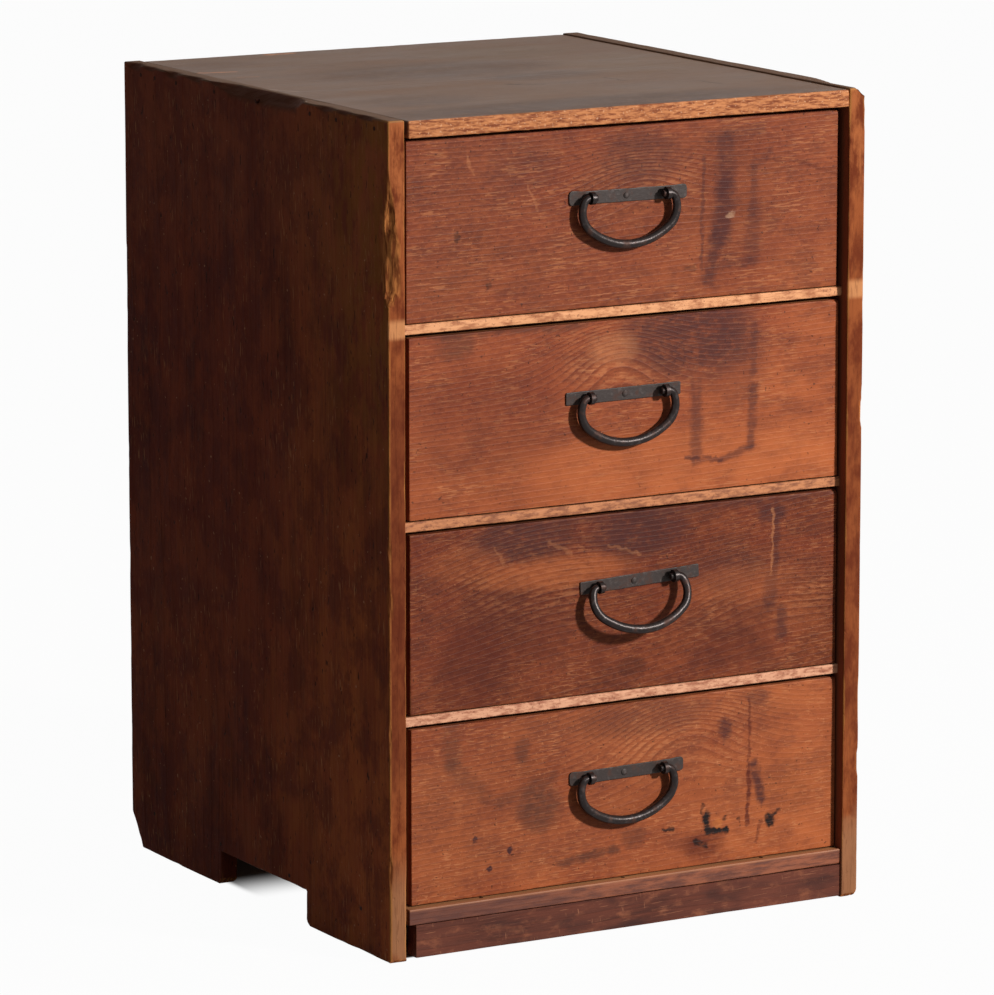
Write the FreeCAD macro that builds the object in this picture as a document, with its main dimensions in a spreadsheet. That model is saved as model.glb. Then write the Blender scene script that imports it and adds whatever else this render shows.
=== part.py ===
"""A small cabinet chest with four drawers, built board by board as the real one is.

Millimetres. X runs to the right along the front, Y to the back and Z up. The origin is on the
floor, under the middle of the whole chest with its handles.
"""
import FreeCAD, Part
import math
import os

import Sketcher

Vector = FreeCAD.Vector
Rotation = FreeCAD.Rotation
Placement = FreeCAD.Placement

DRAWERS = (1, 2, 3, 4)
SHELVES = (1, 2, 3)

# Driving dimensions, each with its name and what it is
SIZES = [
    ("width", 360, "outside width over both sides"),
    ("depth", 375, "depth of the sides, without the handles"),
    ("height", 550, "height of the sides"),
    ("side_thick", 12.5, "thickness of the side boards"),
    ("housing", 5, "depth of the grooves in the sides that hold the boards"),
    ("top_thick", 11.5, "thickness of the top board"),
    ("top_drop", 1, "top board's face below the sides' top ends"),
    ("top_recess", 0.5, "top board's front edge behind the sides' front edges"),
    ("top_tongue", 6, "thickness of the top board's end tongues"),
    ("tongue_stop", 8, "end tongues start this far behind the front"),
    ("sprung_gap", 2.8, "open joint at the left end of the top and bottom boards"),
    ("shelf_thick", 6.5, "thickness of the shelves between the drawers"),
    ("shelf_recess", 8, "shelves' front edges behind the sides' front edges"),
    ("opening_1", 120.5, "clear height for the top drawer"),
    ("opening_2", 122, "clear height for the second drawer"),
    ("opening_3", 121.5, "clear height for the third drawer"),
    ("opening_4", 120, "clear height for the bottom drawer"),
    ("bottom_thick", 10.5, "thickness of the bottom board"),
    ("bottom_recess", 2, "bottom board and plinth behind the sides' front edges"),
    ("plinth_thick", 12, "thickness of the plinth board"),
    ("plinth_lift", 1, "gap between the plinth and the floor"),
    ("plinth_gap", 7.5, "gap at the left end of the plinth"),
    ("foot_length_front", 116.5, "front foot of a side, along its lower edge"),
    ("foot_notch", 122, "length of the notch between the feet"),
    ("rear_taper_length", 15, "corner cut off the rear foot, along the floor"),
    ("rear_taper_rise", 23.5, "corner cut off the rear foot, up the back edge"),
    ("back_thick", 7, "thickness of the back boards"),
    ("back_rebate", 6, "width of the rebates that hold the back boards"),
    ("back_gap", 0.8, "shrinkage gap between two back boards"),
    ("back_lower_top", 198, "top edge of the lower back board"),
    ("back_middle_top", 372, "top edge of the middle back board"),
    ("drawer_width", 326.5, "outside width of every drawer"),
    ("drawer_length", 352, "outside length of every drawer, front to back"),
    ("drawer_recess", 8.5, "drawer fronts behind the sides' front edges"),
    ("drawer_lift", 0.5, "drawer front's lower edge above its shelf"),
    ("drawer_headroom", 2, "drawer front's upper edge below the board over it"),
    ("front_thick", 15, "thickness of the drawer fronts"),
    ("front_lip", 7, "lip of the drawer front that covers the ends of the sides"),
    ("box_thick", 8, "thickness of the drawer's sides and back"),
    ("box_drop", 1, "drawer's sides and back below the front's upper edge"),
    ("base_thick", 6, "thickness of the drawer's bottom"),
    ("left_gap_1", 5.2, "drawer 1 from the left side board"),
    ("left_gap_2", 7.0, "drawer 2 from the left side board"),
    ("left_gap_3", 7.2, "drawer 3 from the left side board"),
    ("left_gap_4", 7.9, "drawer 4 from the left side board"),
    ("peg_head", 1.4, "radius of a wooden peg at its outer end"),
    ("peg_tip", 1.0, "radius of a wooden peg at its inner end"),
    ("peg_length", 20, "length of a peg through a thin board"),
    ("long_peg", 26, "length of a peg through a side board"),
    ("peg_play", 0.05, "radius of a peg hole over the peg's own"),
    ("plate_height", 8.5, "height of a handle plate"),
    ("plate_thick", 1.2, "thickness of a handle plate"),
    ("plate_corner", 2.8, "radius of a handle plate's corners"),
    ("plate_length_1", 89, "length of handle 1's plate"),
    ("plate_length_2", 87, "length of handle 2's plate"),
    ("plate_length_3", 91, "length of handle 3's plate"),
    ("plate_length_4", 87.5, "length of handle 4's plate"),
    ("plate_shift_1", 1.5, "middle of plate 1 to the right of its eyes' middle"),
    ("plate_shift_2", -1.0, "middle of plate 2 to the right of its eyes' middle"),
    ("plate_shift_3", 4.5, "middle of plate 3 to the right of its eyes' middle"),
    ("plate_shift_4", 2.0, "middle of plate 4 to the right of its eyes' middle"),
    ("handle_x_1", 0.5, "middle of handle 1 from the middle of the chest"),
    ("handle_x_2", 0.0, "middle of handle 2 from the middle of the chest"),
    ("handle_x_3", 7.5, "middle of handle 3 from the middle of the chest"),
    ("handle_x_4", 0.5, "middle of handle 4 from the middle of the chest"),
    ("handle_z_1", 489.7, "height of handle 1's pivots"),
    ("handle_z_2", 359.2, "height of handle 2's pivots"),
    ("handle_z_3", 234.0, "height of handle 3's pivots"),
    ("handle_z_4", 105.8, "height of handle 4's pivots"),
    ("handle_tilt_1", -0.4, "slope of handle 1, in degrees, right end up"),
    ("handle_tilt_2", 0.4, "slope of handle 2, in degrees, right end up"),
    ("handle_tilt_3", 2.3, "slope of handle 3, in degrees, right end up"),
    ("handle_tilt_4", 0.7, "slope of handle 4, in degrees, right end up"),
    ("bail_swing_1", 0, "bail 1 swung out from hanging, in degrees"),
    ("bail_swing_2", 0, "bail 2 swung out from hanging, in degrees"),
    ("bail_swing_3", 20, "bail 3 swung out from hanging, in degrees"),
    ("bail_swing_4", 0, "bail 4 swung out from hanging, in degrees"),
    ("eye_spacing", 57, "distance between the two eyes of a handle"),
    ("eye_width", 3, "width of the iron strip that an eye is bent from"),
    ("eye_bore", 2.5, "inner radius of an eye"),
    ("eye_outer", 4.2, "outer radius of an eye"),
    ("eye_leg", 1.1, "thickness of each of an eye's two legs"),
    ("eye_clinch", 9, "length of a leg's bent end inside the drawer"),
    ("pivot_out", 5.6, "pivot line in front of the drawer front"),
    ("pin_radius", 2.4, "radius of a bail's end in its eye"),
    ("pin_inner", 24.6, "tip of a bail's end from the handle's middle"),
    ("bail_half_width", 35.75, "bail's half width, to the middle of the rod"),
    ("bail_drop", 31.5, "bail's drop, to the middle of the rod"),
    ("bail_shoulder", 9, "drop of the centre of a bail's corner arc"),
    ("bail_corner", 15.5, "radius of a bail's corner"),
    ("bail_elbow", 4.5, "radius of the elbow where a bail turns into its eye"),
    ("rod_middle", 3.7, "radius of the bail's rod at the bottom"),
    ("rod_end", 2.9, "radius of the bail's rod at its elbows"),
    ("nail_head", 2.1, "radius of a plate nail's head"),
    ("nail_shank", 0.9, "radius of a plate nail's shank under the head"),
    ("nail_point", 0.3, "radius of a plate nail's shank at its point"),
    ("nail_length", 12, "length of a plate nail's shank"),
    ("nail_crown", 0.9, "height of a plate nail's head"),
]

# Peg places, in millimetres from the front edge of a side board
TOP_PEGS = (18, 69, 105, 180, 240, 296, 328, 349)
BOTTOM_PEGS = (40, 140, 240, 340)

doc = FreeCAD.newDocument("drawer_chest")
parts = {}


def make_sheet():
    """The spreadsheet that holds every driving dimension."""
    sheet = doc.addObject("Spreadsheet::Sheet", "sizes")
    for row, (alias, value, meaning) in enumerate(SIZES, start=1):
        sheet.set(f"A{row}", meaning)
        sheet.set(f"B{row}", str(value))
        sheet.setAlias(f"B{row}", alias)
    doc.recompute()
    return sheet


sheet = make_sheet()


def value(expression):
    """The number that an expression on the sheet gives."""
    return float(sheet.evalExpression(expression))


# Main levels and faces, as expressions on the sheet
REACH = ("(sizes.bail_drop * sin(sizes.bail_swing_3) + sizes.rod_middle"
         " - sizes.drawer_recess + sizes.pivot_out)")
FRONT = f"(({REACH} - sizes.depth) / 2)"
BACK = f"({FRONT} + sizes.depth)"
OUTER_LEFT = "(-sizes.width / 2)"
OUTER_RIGHT = "(sizes.width / 2)"
INNER_LEFT = f"({OUTER_LEFT} + sizes.side_thick)"
INNER_RIGHT = f"({OUTER_RIGHT} - sizes.side_thick)"
BACK_FACE = f"({BACK} - sizes.back_thick)"
DRAWER_FACE = f"({FRONT} + sizes.drawer_recess)"
DRAWER_BACK = f"({DRAWER_FACE} + sizes.drawer_length)"
TOP_UPPER = "(sizes.height - sizes.top_drop)"
TOP_LOWER = f"({TOP_UPPER} - sizes.top_thick)"


def floor_of(number):
    """Height of the board that a drawer slides on."""
    text = TOP_LOWER
    for upper in range(1, number + 1):
        text += f" - sizes.opening_{upper}"
        if upper < number:
            text += " - sizes.shelf_thick"
    return f"({text})"


BOTTOM_UPPER = floor_of(4)
BOTTOM_LOWER = f"({BOTTOM_UPPER} - sizes.bottom_thick)"


def named(item, label):
    """Keep a finished piece under the name that its file gets."""
    item.Label = label
    parts[label] = item
    return item


def block(name, across, along, upward):
    """A rectangular block between three pairs of expressions."""
    box = doc.addObject("Part::Box", name)
    sides = (("Length", "x", across), ("Width", "y", along), ("Height", "z", upward))
    for size, axis, (low, high) in sides:
        box.setExpression(size, f"({high}) - ({low})")
        box.setExpression(f"Placement.Base.{axis}", low)
    return box


def group(name, members):
    """Several solids side by side in one shape."""
    compound = doc.addObject("Part::Compound", name)
    compound.Links = members
    return compound


def cut(name, base, tools):
    """A piece with tools taken out of it."""
    result = doc.addObject("Part::Cut", name)
    result.Base = base
    result.Tool = tools if not isinstance(tools, list) else group(f"{name}_tools", tools)
    return result


def fuse(name, members):
    """Blocks joined into one solid, without seams."""
    result = doc.addObject("Part::MultiFuse", name)
    result.Shapes = members
    result.Refine = True
    return result


# Direction of a peg, from its head to its tip, as a turn away from +Z
TURNS = {
    "right": Rotation(Vector(0, 1, 0), 90),
    "left": Rotation(Vector(0, 1, 0), -90),
    "up": Rotation(),
    "down": Rotation(Vector(1, 0, 0), 180),
    "front": Rotation(Vector(1, 0, 0), 90),
}


def cone(name, spot, turn, radii, length):
    """A tapered pin whose head's middle is at spot, a triple of expressions."""
    pin = doc.addObject("Part::Cone", name)
    pin.Placement = Placement(Vector(), turn)
    for axis, text in zip("xyz", spot):
        pin.setExpression(f"Placement.Base.{axis}", text)
    pin.setExpression("Radius1", radii[0])
    pin.setExpression("Radius2", radii[1])
    pin.setExpression("Height", length)
    return pin


def peg_row(name, spots, direction, length):
    """Wooden pegs and the matching holes, two lists of the same length."""
    pegs = []
    holes = []
    for number, spot in enumerate(spots, start=1):
        label = f"{name}_{number}"
        turn = TURNS[direction]
        head, tip = "sizes.peg_head", "sizes.peg_tip"
        pegs.append(cone(f"{label}_peg", spot, turn, (head, tip), length))
        wide = (f"{head} + sizes.peg_play", f"{tip} + sizes.peg_play")
        holes.append(cone(f"{label}_hole", spot, turn, wide, length))
    return pegs, holes


def origin_plane(body, role):
    """One of a body's own origin planes."""
    return [plane for plane in body.Origin.OriginFeatures if plane.Role == role][0]


def sketch_on(body, role, name, offset=None):
    """An empty sketch on one of the body's own planes, moved along the plane's normal."""
    sketch = body.newObject("Sketcher::SketchObject", name)
    sketch.AttachmentSupport = [(origin_plane(body, role), "")]
    sketch.MapMode = "FlatFace"
    if offset is not None:
        sketch.setExpression("AttachmentOffset.Base.z", offset)
    return sketch


def pin_distance(sketch, kind, geometry, point, name, text):
    """A distance from the sketch's origin that follows an expression."""
    place = Sketcher.Constraint(kind, -1, 1, geometry, point, value(text))
    sketch.renameConstraint(sketch.addConstraint(place), name)
    sketch.setExpression(f"Constraints.{name}", text)


def outline(sketch, points):
    """A closed polygon whose corners are pairs of expressions."""
    corners = [Vector(value(x), value(y), 0) for x, y in points]
    first = sketch.GeometryCount
    for number, corner in enumerate(corners):
        following = corners[(number + 1) % len(corners)]
        sketch.addGeometry(Part.LineSegment(corner, following), False)
    for number, (x, y) in enumerate(points):
        line = first + number
        after = first + (number + 1) % len(points)
        sketch.addConstraint(Sketcher.Constraint("Coincident", line, 2, after, 1))
        for kind, axis, text in (("DistanceX", -2, x), ("DistanceY", -1, y)):
            if abs(value(text)) < 1e-9:
                sketch.addConstraint(Sketcher.Constraint("PointOnObject", line, 1, axis))
            else:
                pin_distance(sketch, kind, line, 1, f"{kind.lower()}_{line}", text)


def circle(sketch, middle, radius):
    """A circle whose middle is a pair of expressions and whose radius is one."""
    centre = Vector(value(middle[0]), value(middle[1]), 0)
    index = sketch.addGeometry(Part.Circle(centre, Vector(0, 0, 1), value(radius)), False)
    for kind, axis, text in (("DistanceX", -2, middle[0]), ("DistanceY", -1, middle[1])):
        if abs(value(text)) < 1e-9:
            sketch.addConstraint(Sketcher.Constraint("PointOnObject", index, 3, axis))
        else:
            pin_distance(sketch, kind, index, 3, f"{kind.lower()}_{index}", text)
    size = sketch.addConstraint(Sketcher.Constraint("Radius", index, value(radius)))
    sketch.renameConstraint(size, f"radius_{index}")
    sketch.setExpression(f"Constraints.radius_{index}", radius)


def pad(body, name, sketch, length, middle=False):
    """A sketch made solid along its normal, or to both sides of its plane."""
    feature = body.newObject("PartDesign::Pad", name)
    feature.Profile = sketch
    feature.setExpression("Length", length)
    feature.Midplane = middle
    return feature


def pocket(body, name, sketch, length, reverse=False):
    """A sketch cut into the body, which must take something away."""
    doc.recompute()
    before = body.Shape.Volume
    feature = body.newObject("PartDesign::Pocket", name)
    feature.Profile = sketch
    feature.setExpression("Length", length)
    feature.Reversed = reverse
    doc.recompute()
    if not body.Shape.Volume < before - 1:
        raise RuntimeError(f"{name} takes nothing away")
    return feature


def place_body(body, x, y, z):
    """Put a body's own origin at a triple of expressions."""
    for axis, text in zip("xyz", (x, y, z)):
        body.setExpression(f"Placement.Base.{axis}", text)


# Side boards, with feet, grooves for the boards they carry and a rebate for the back
def side_outline():
    """Outer shape of a side board, seen from the right, from the front lower corner."""
    notch_end = "sizes.foot_length_front + sizes.foot_notch"
    return [
        ("0", "0"),
        ("sizes.foot_length_front", "0"),
        ("sizes.foot_length_front", BOTTOM_LOWER),
        (notch_end, BOTTOM_LOWER),
        (notch_end, "0"),
        ("sizes.depth - sizes.rear_taper_length", "0"),
        ("sizes.depth", "sizes.rear_taper_rise"),
        ("sizes.depth", "sizes.height"),
        ("0", "sizes.height"),
    ]


def side_grooves():
    """Grooves as rectangles on the side board: front end, back end, lower and upper edge."""
    inside_back = "sizes.depth - sizes.back_thick"
    tongue_low = f"{TOP_LOWER} + (sizes.top_thick - sizes.top_tongue) / 2"
    grooves = [
        ("sizes.tongue_stop", "sizes.depth", tongue_low, f"{tongue_low} + sizes.top_tongue"),
        ("sizes.tongue_stop", inside_back, BOTTOM_LOWER, BOTTOM_UPPER),
    ]
    for number in SHELVES:
        low = f"{floor_of(number)} - sizes.shelf_thick"
        grooves.append(("sizes.shelf_recess", inside_back, low, floor_of(number)))
    return grooves


def side_panel(side, x_place):
    """One side board. Its own origin is on its outer or inner face, whichever is left."""
    body = doc.addObject("PartDesign::Body", f"side_{side}")
    board = sketch_on(body, "YZ_Plane", f"side_{side}_board")
    outline(board, side_outline())
    pad(body, f"side_{side}_pad", board, "sizes.side_thick")

    inner_at = "sizes.side_thick" if side == "left" else "0"
    grooves = sketch_on(body, "YZ_Plane", f"side_{side}_grooves", inner_at)
    for front_end, back_end, low, high in side_grooves():
        corners = [(front_end, low), (back_end, low), (back_end, high), (front_end, high)]
        outline(grooves, corners)
    pocket(body, f"side_{side}_housings", grooves, "sizes.housing", side == "right")

    rebate = sketch_on(body, "YZ_Plane", f"side_{side}_rebate", inner_at)
    inside_back = "sizes.depth - sizes.back_thick"
    outline(rebate, [
        (inside_back, BOTTOM_LOWER),
        ("sizes.depth", BOTTOM_LOWER),
        ("sizes.depth", TOP_LOWER),
        (inside_back, TOP_LOWER),
    ])
    pocket(body, f"side_{side}_back_rebate", rebate, "sizes.back_rebate", side == "right")
    place_body(body, x_place, FRONT, "0")
    return body


# Boards between the sides
def top_board():
    """Top board with a tongue at each end and an open joint at its left end."""
    shoulder = f"{INNER_LEFT} + sizes.sprung_gap"
    along = (f"{FRONT} + sizes.top_recess", BACK)
    panel = block("top_panel", (shoulder, INNER_RIGHT), along, (TOP_LOWER, TOP_UPPER))
    low = f"{TOP_LOWER} + (sizes.top_thick - sizes.top_tongue) / 2"
    across = (f"{INNER_LEFT} - sizes.housing", f"{INNER_RIGHT} + sizes.housing")
    behind = (f"{FRONT} + sizes.tongue_stop", BACK)
    tongue = block("top_tongues", across, behind, (low, f"{low} + sizes.top_tongue"))
    return fuse("top_whole", [panel, tongue])


def bottom_board():
    """Bottom board, its full thickness let into the sides behind notched front corners."""
    back = BACK_FACE
    front = f"{FRONT} + sizes.bottom_recess"
    inner = (f"{INNER_LEFT} + sizes.sprung_gap", INNER_RIGHT)
    upward = (BOTTOM_LOWER, BOTTOM_UPPER)
    panel = block("bottom_panel", inner, (front, back), upward)
    across = (f"{INNER_LEFT} - sizes.housing", f"{INNER_RIGHT} + sizes.housing")
    behind = (f"{FRONT} + sizes.tongue_stop", back)
    ends = block("bottom_ends", across, behind, upward)
    return fuse("bottom_whole", [panel, ends])


def shelf(number):
    """A thin board that carries one drawer and keeps the dust off the next."""
    across = (f"{INNER_LEFT} - sizes.housing", f"{INNER_RIGHT} + sizes.housing")
    along = (f"{FRONT} + sizes.shelf_recess", BACK_FACE)
    high = floor_of(number)
    return block(f"shelf_board_{number}", across, along, (f"{high} - sizes.shelf_thick", high))


def plinth_board():
    """Board on edge under the front of the bottom board."""
    front = f"{FRONT} + sizes.bottom_recess"
    across = (f"{INNER_LEFT} + sizes.plinth_gap", INNER_RIGHT)
    along = (front, f"{front} + sizes.plinth_thick")
    return block("plinth_whole", across, along, ("sizes.plinth_lift", BOTTOM_LOWER))


def back_board(name, low, high):
    """One of the boards nailed into the rebates at the back."""
    across = (f"{INNER_LEFT} - sizes.back_rebate", f"{INNER_RIGHT} + sizes.back_rebate")
    return block(f"{name}_whole", across, (BACK_FACE, BACK), (low, high))


def top_peg_spots(side):
    """Heads of the pegs that hold the top board between the sides."""
    outer = OUTER_LEFT if side == "left" else OUTER_RIGHT
    level = f"{TOP_LOWER} + sizes.top_thick / 2"
    return [(outer, f"{FRONT} + {place}", level) for place in TOP_PEGS]


def bottom_peg_spots(side):
    """Heads of the pegs that hold the bottom board between the sides."""
    outer = OUTER_LEFT if side == "left" else OUTER_RIGHT
    level = f"{BOTTOM_LOWER} + sizes.bottom_thick / 2"
    return [(outer, f"{FRONT} + {place}", level) for place in BOTTOM_PEGS]


def back_peg_spots():
    """Heads of the pegs through the back boards, into the sides' rebates and the shelves."""
    edge = "sizes.back_rebate / 2"
    rows = (
        (BOTTOM_LOWER, "sizes.back_lower_top"),
        ("sizes.back_lower_top + sizes.back_gap", "sizes.back_middle_top"),
        ("sizes.back_middle_top + sizes.back_gap", TOP_LOWER),
    )
    spots = []
    for x in (f"{INNER_LEFT} - {edge}", f"{INNER_RIGHT} + {edge}"):
        for low, high in rows:
            for share in (0.15, 0.42, 0.85):
                spots.append((x, BACK, f"({low}) + (({high}) - ({low})) * {share}"))
    levels = [f"{floor_of(number)} - sizes.shelf_thick / 2" for number in SHELVES]
    levels.append(f"{BOTTOM_UPPER} - sizes.bottom_thick / 2")
    for level in levels:
        for share in (-0.3, 0, 0.3):
            spots.append((f"sizes.width * {share}", BACK, level))
    return spots


def plinth_peg_spots():
    """Heads of the pegs driven down through the bottom board into the plinth."""
    y = f"{FRONT} + sizes.bottom_recess + sizes.plinth_thick / 2"
    return [(f"sizes.width * {share}", y, BOTTOM_UPPER) for share in (-0.3, 0, 0.3)]


def carcass():
    """Every fixed board of the chest and the pegs that hold them."""
    pegs = {}
    holes = {}
    for side, direction in (("left", "right"), ("right", "left")):
        spots = top_peg_spots(side) + bottom_peg_spots(side)
        made = peg_row(f"carcass_{side}", spots, direction, "sizes.long_peg")
        pegs[side], holes[side] = made
    pegs["back"], holes["back"] = peg_row("back", back_peg_spots(), "front", "sizes.peg_length")
    made = peg_row("plinth", plinth_peg_spots(), "down", "sizes.peg_length")
    pegs["plinth"], holes["plinth"] = made
    drilled = {name: group(f"holes_{name}", members) for name, members in holes.items()}

    for side, x_place in (("left", OUTER_LEFT), ("right", INNER_RIGHT)):
        board = side_panel(side, x_place)
        board = cut(f"side_{side}_back_holes", board, drilled["back"])
        named(cut(f"side_{side}_drilled", board, drilled[side]), f"side_panel_{side}")

    top = cut("top_drilled_left", top_board(), drilled["left"])
    named(cut("top_drilled", top, drilled["right"]), "top_board")
    bottom = bottom_board()
    for name in ("left", "right", "back", "plinth"):
        bottom = cut(f"bottom_drilled_{name}", bottom, drilled[name])
    named(bottom, "bottom_board")
    named(cut("plinth_drilled", plinth_board(), drilled["plinth"]), "plinth_board")
    for number in SHELVES:
        named(cut(f"shelf_drilled_{number}", shelf(number), drilled["back"]), f"shelf_{number}")

    levels = (
        ("back_board_lower", BOTTOM_LOWER, "sizes.back_lower_top"),
        ("back_board_middle", "sizes.back_lower_top + sizes.back_gap", "sizes.back_middle_top"),
        ("back_board_upper", "sizes.back_middle_top + sizes.back_gap", TOP_LOWER),
    )
    for name, low, high in levels:
        named(cut(f"{name}_drilled", back_board(name, low, high), drilled["back"]), name)

    named(group("pegs_in_sides", pegs["left"] + pegs["right"]), "carcass_pegs")
    named(group("pegs_in_back", pegs["back"]), "back_pegs")
    named(group("pegs_in_plinth", pegs["plinth"]), "plinth_pegs")


# Drawers
class Drawer:
    """Faces and levels of one drawer, as expressions."""

    def __init__(self, number):
        self.number = number
        self.left = f"({INNER_LEFT} + sizes.left_gap_{number})"
        self.right = f"({self.left} + sizes.drawer_width)"
        self.floor = floor_of(number)
        self.front_low = f"({self.floor} + sizes.drawer_lift)"
        self.front_high = f"({self.floor} + sizes.opening_{number} - sizes.drawer_headroom)"
        self.box_low = f"({self.floor} + sizes.base_thick)"
        self.box_high = f"({self.front_high} - sizes.box_drop)"
        self.inner_left = f"({self.left} + sizes.box_thick)"
        self.inner_right = f"({self.right} - sizes.box_thick)"
        self.lip_back = f"({DRAWER_FACE} + sizes.front_lip)"
        self.front_back = f"({DRAWER_FACE} + sizes.front_thick)"
        self.back_face = f"({DRAWER_BACK} - sizes.box_thick)"

    def name(self, piece):
        return f"drawer_{self.number}_{piece}"


def front_board(drawer):
    """Drawer front: rebated at both ends for the sides and underneath for the bottom."""
    body = doc.addObject("PartDesign::Body", drawer.name("front_body"))
    plan = sketch_on(body, "XY_Plane", drawer.name("front_plan"))
    end = "sizes.drawer_width"
    outline(plan, [
        ("0", "0"),
        (end, "0"),
        (end, "sizes.front_lip"),
        (f"{end} - sizes.box_thick", "sizes.front_lip"),
        (f"{end} - sizes.box_thick", "sizes.front_thick"),
        ("sizes.box_thick", "sizes.front_thick"),
        ("sizes.box_thick", "sizes.front_lip"),
        ("0", "sizes.front_lip"),
    ])
    pad(body, drawer.name("front_pad"), plan, f"{drawer.front_high} - {drawer.front_low}")
    under = sketch_on(body, "XY_Plane", drawer.name("front_under"))
    outline(under, [
        ("0", "sizes.front_lip"),
        (end, "sizes.front_lip"),
        (end, "sizes.front_thick"),
        ("0", "sizes.front_thick"),
    ])
    rise = "sizes.base_thick - sizes.drawer_lift"
    pocket(body, drawer.name("front_rebate"), under, rise, reverse=True)
    place_body(body, drawer.left, DRAWER_FACE, drawer.front_low)
    return body


def drawer_peg_rows(drawer):
    """Pegs of one drawer: name, heads and direction of each row."""
    rise = f"({drawer.box_high} - {drawer.box_low})"
    lap = f"({drawer.lip_back} + {drawer.front_back}) / 2"
    rear = f"{DRAWER_BACK} - sizes.box_thick / 2"
    rows = []
    for side, x, direction in (("left", drawer.left, "right"), ("right", drawer.right, "left")):
        spots = [(x, lap, f"{drawer.box_low} + {rise} * {share}") for share in (0.15, 0.5, 0.85)]
        spots += [(x, rear, f"{drawer.box_low} + {rise} * {share}") for share in (0.25, 0.75)]
        rows.append((drawer.name(f"{side}_row"), spots, direction))
    inset = "sizes.box_thick / 2"
    under = []
    for x in (f"{drawer.left} + {inset}", f"{drawer.right} - {inset}"):
        for share in (0.15, 0.5, 0.85):
            under.append((x, f"{DRAWER_FACE} + sizes.drawer_length * {share}", drawer.floor))
    for share in (0.3, 0.7):
        x = f"{drawer.left} + sizes.drawer_width * {share}"
        under.append((x, lap, drawer.floor))
        under.append((x, rear, drawer.floor))
    rows.append((drawer.name("under_row"), under, "up"))
    return rows


def leg_slots(drawer):
    """Slots in the drawer front for the legs of its handle's eyes."""
    slots = []
    place = handle_place(drawer.number)
    deep = value("sizes.front_thick + 2")
    wide = value("sizes.eye_width")
    tall = value("2 * sizes.eye_leg")
    for side, sign in (("left", -1), ("right", 1)):
        slot = doc.addObject("Part::Box", drawer.name(f"slot_{side}"))
        slot.setExpression("Length", "sizes.eye_width")
        slot.setExpression("Width", "sizes.front_thick + 2")
        slot.setExpression("Height", "2 * sizes.eye_leg")
        corner = Vector(sign * value("sizes.eye_spacing / 2") - wide / 2, -1, -tall / 2)
        slot.Placement = place * Placement(corner, Rotation())
        slots.append(slot)
    if deep <= value("sizes.front_thick"):
        raise RuntimeError("the slots have to pass through the drawer front")
    return slots


def make_drawer(drawer):
    """The five boards of a drawer and its pegs."""
    pegs = []
    holes = []
    for name, spots, direction in drawer_peg_rows(drawer):
        row_pegs, row_holes = peg_row(name, spots, direction, "sizes.peg_length")
        pegs += row_pegs
        holes += row_holes
    drilled = group(drawer.name("holes"), holes)

    front = cut(drawer.name("front_slotted"), front_board(drawer), leg_slots(drawer))
    front = cut(drawer.name("front_nailed"), front, nail_hole(drawer.number))
    named(cut(drawer.name("front_drilled"), front, drilled), drawer.name("front"))

    upward = (drawer.box_low, drawer.box_high)
    along = (drawer.lip_back, DRAWER_BACK)
    sides = (
        ("side_left", (drawer.left, drawer.inner_left)),
        ("side_right", (drawer.inner_right, drawer.right)),
    )
    for piece, across in sides:
        board = block(drawer.name(f"{piece}_whole"), across, along, upward)
        named(cut(drawer.name(f"{piece}_drilled"), board, drilled), drawer.name(piece))

    across = (drawer.inner_left, drawer.inner_right)
    board = block(drawer.name("back_whole"), across, (drawer.back_face, DRAWER_BACK), upward)
    named(cut(drawer.name("back_drilled"), board, drilled), drawer.name("back"))

    across = (drawer.left, drawer.right)
    base = block(drawer.name("base_whole"), across, along, (drawer.floor, drawer.box_low))
    named(cut(drawer.name("base_drilled"), base, drilled), drawer.name("bottom"))
    named(group(drawer.name("peg_set"), pegs), drawer.name("pegs"))


# Handles: an iron plate, two eyes, a bail and a nail on each drawer
def handle_place(number):
    """A handle's own frame: on the drawer front, X along the plate, Z across it."""
    spot = Vector(value(f"sizes.handle_x_{number}"), value(DRAWER_FACE),
                  value(f"sizes.handle_z_{number}"))
    tilt = Rotation(Vector(0, 1, 0), -value(f"sizes.handle_tilt_{number}"))
    return Placement(spot, tilt)


def handle_plate(number):
    """Flat iron strip with rounded corners, slotted for the eyes and holed for the nail."""
    name = f"handle_{number}_plate"
    length = f"sizes.plate_length_{number}"
    shift = f"sizes.plate_shift_{number}"
    body = doc.addObject("PartDesign::Body", f"{name}_body")
    strip = sketch_on(body, "XZ_Plane", f"{name}_strip")
    left = f"{shift} - {length} / 2"
    right = f"{shift} + {length} / 2"
    low = "-sizes.plate_height / 2"
    high = "sizes.plate_height / 2"
    outline(strip, [(left, low), (right, low), (right, high), (left, high)])
    pad(body, f"{name}_pad", strip, "sizes.plate_thick")
    doc.recompute()
    square = body.Tip
    corners = [f"Edge{index}" for index, edge in enumerate(square.Shape.Edges, start=1)
               if abs(edge.tangentAt(edge.FirstParameter).y) > 0.99]
    rounding = body.newObject("PartDesign::Fillet", f"{name}_corners")
    rounding.Base = (square, corners)
    rounding.setExpression("Radius", "sizes.plate_corner")

    holes = sketch_on(body, "XZ_Plane", f"{name}_holes")
    for sign in ("-", ""):
        middle = f"{sign}sizes.eye_spacing / 2"
        low_x, high_x = f"{middle} - sizes.eye_width / 2", f"{middle} + sizes.eye_width / 2"
        outline(holes, [
            (low_x, "-sizes.eye_leg"),
            (high_x, "-sizes.eye_leg"),
            (high_x, "sizes.eye_leg"),
            (low_x, "sizes.eye_leg"),
        ])
    circle(holes, ("0", "0"), "sizes.nail_shank + sizes.peg_play")
    pocket(body, f"{name}_pocket", holes, "sizes.plate_thick", reverse=True)
    body.Placement = handle_place(number)
    named(body, name)


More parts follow.
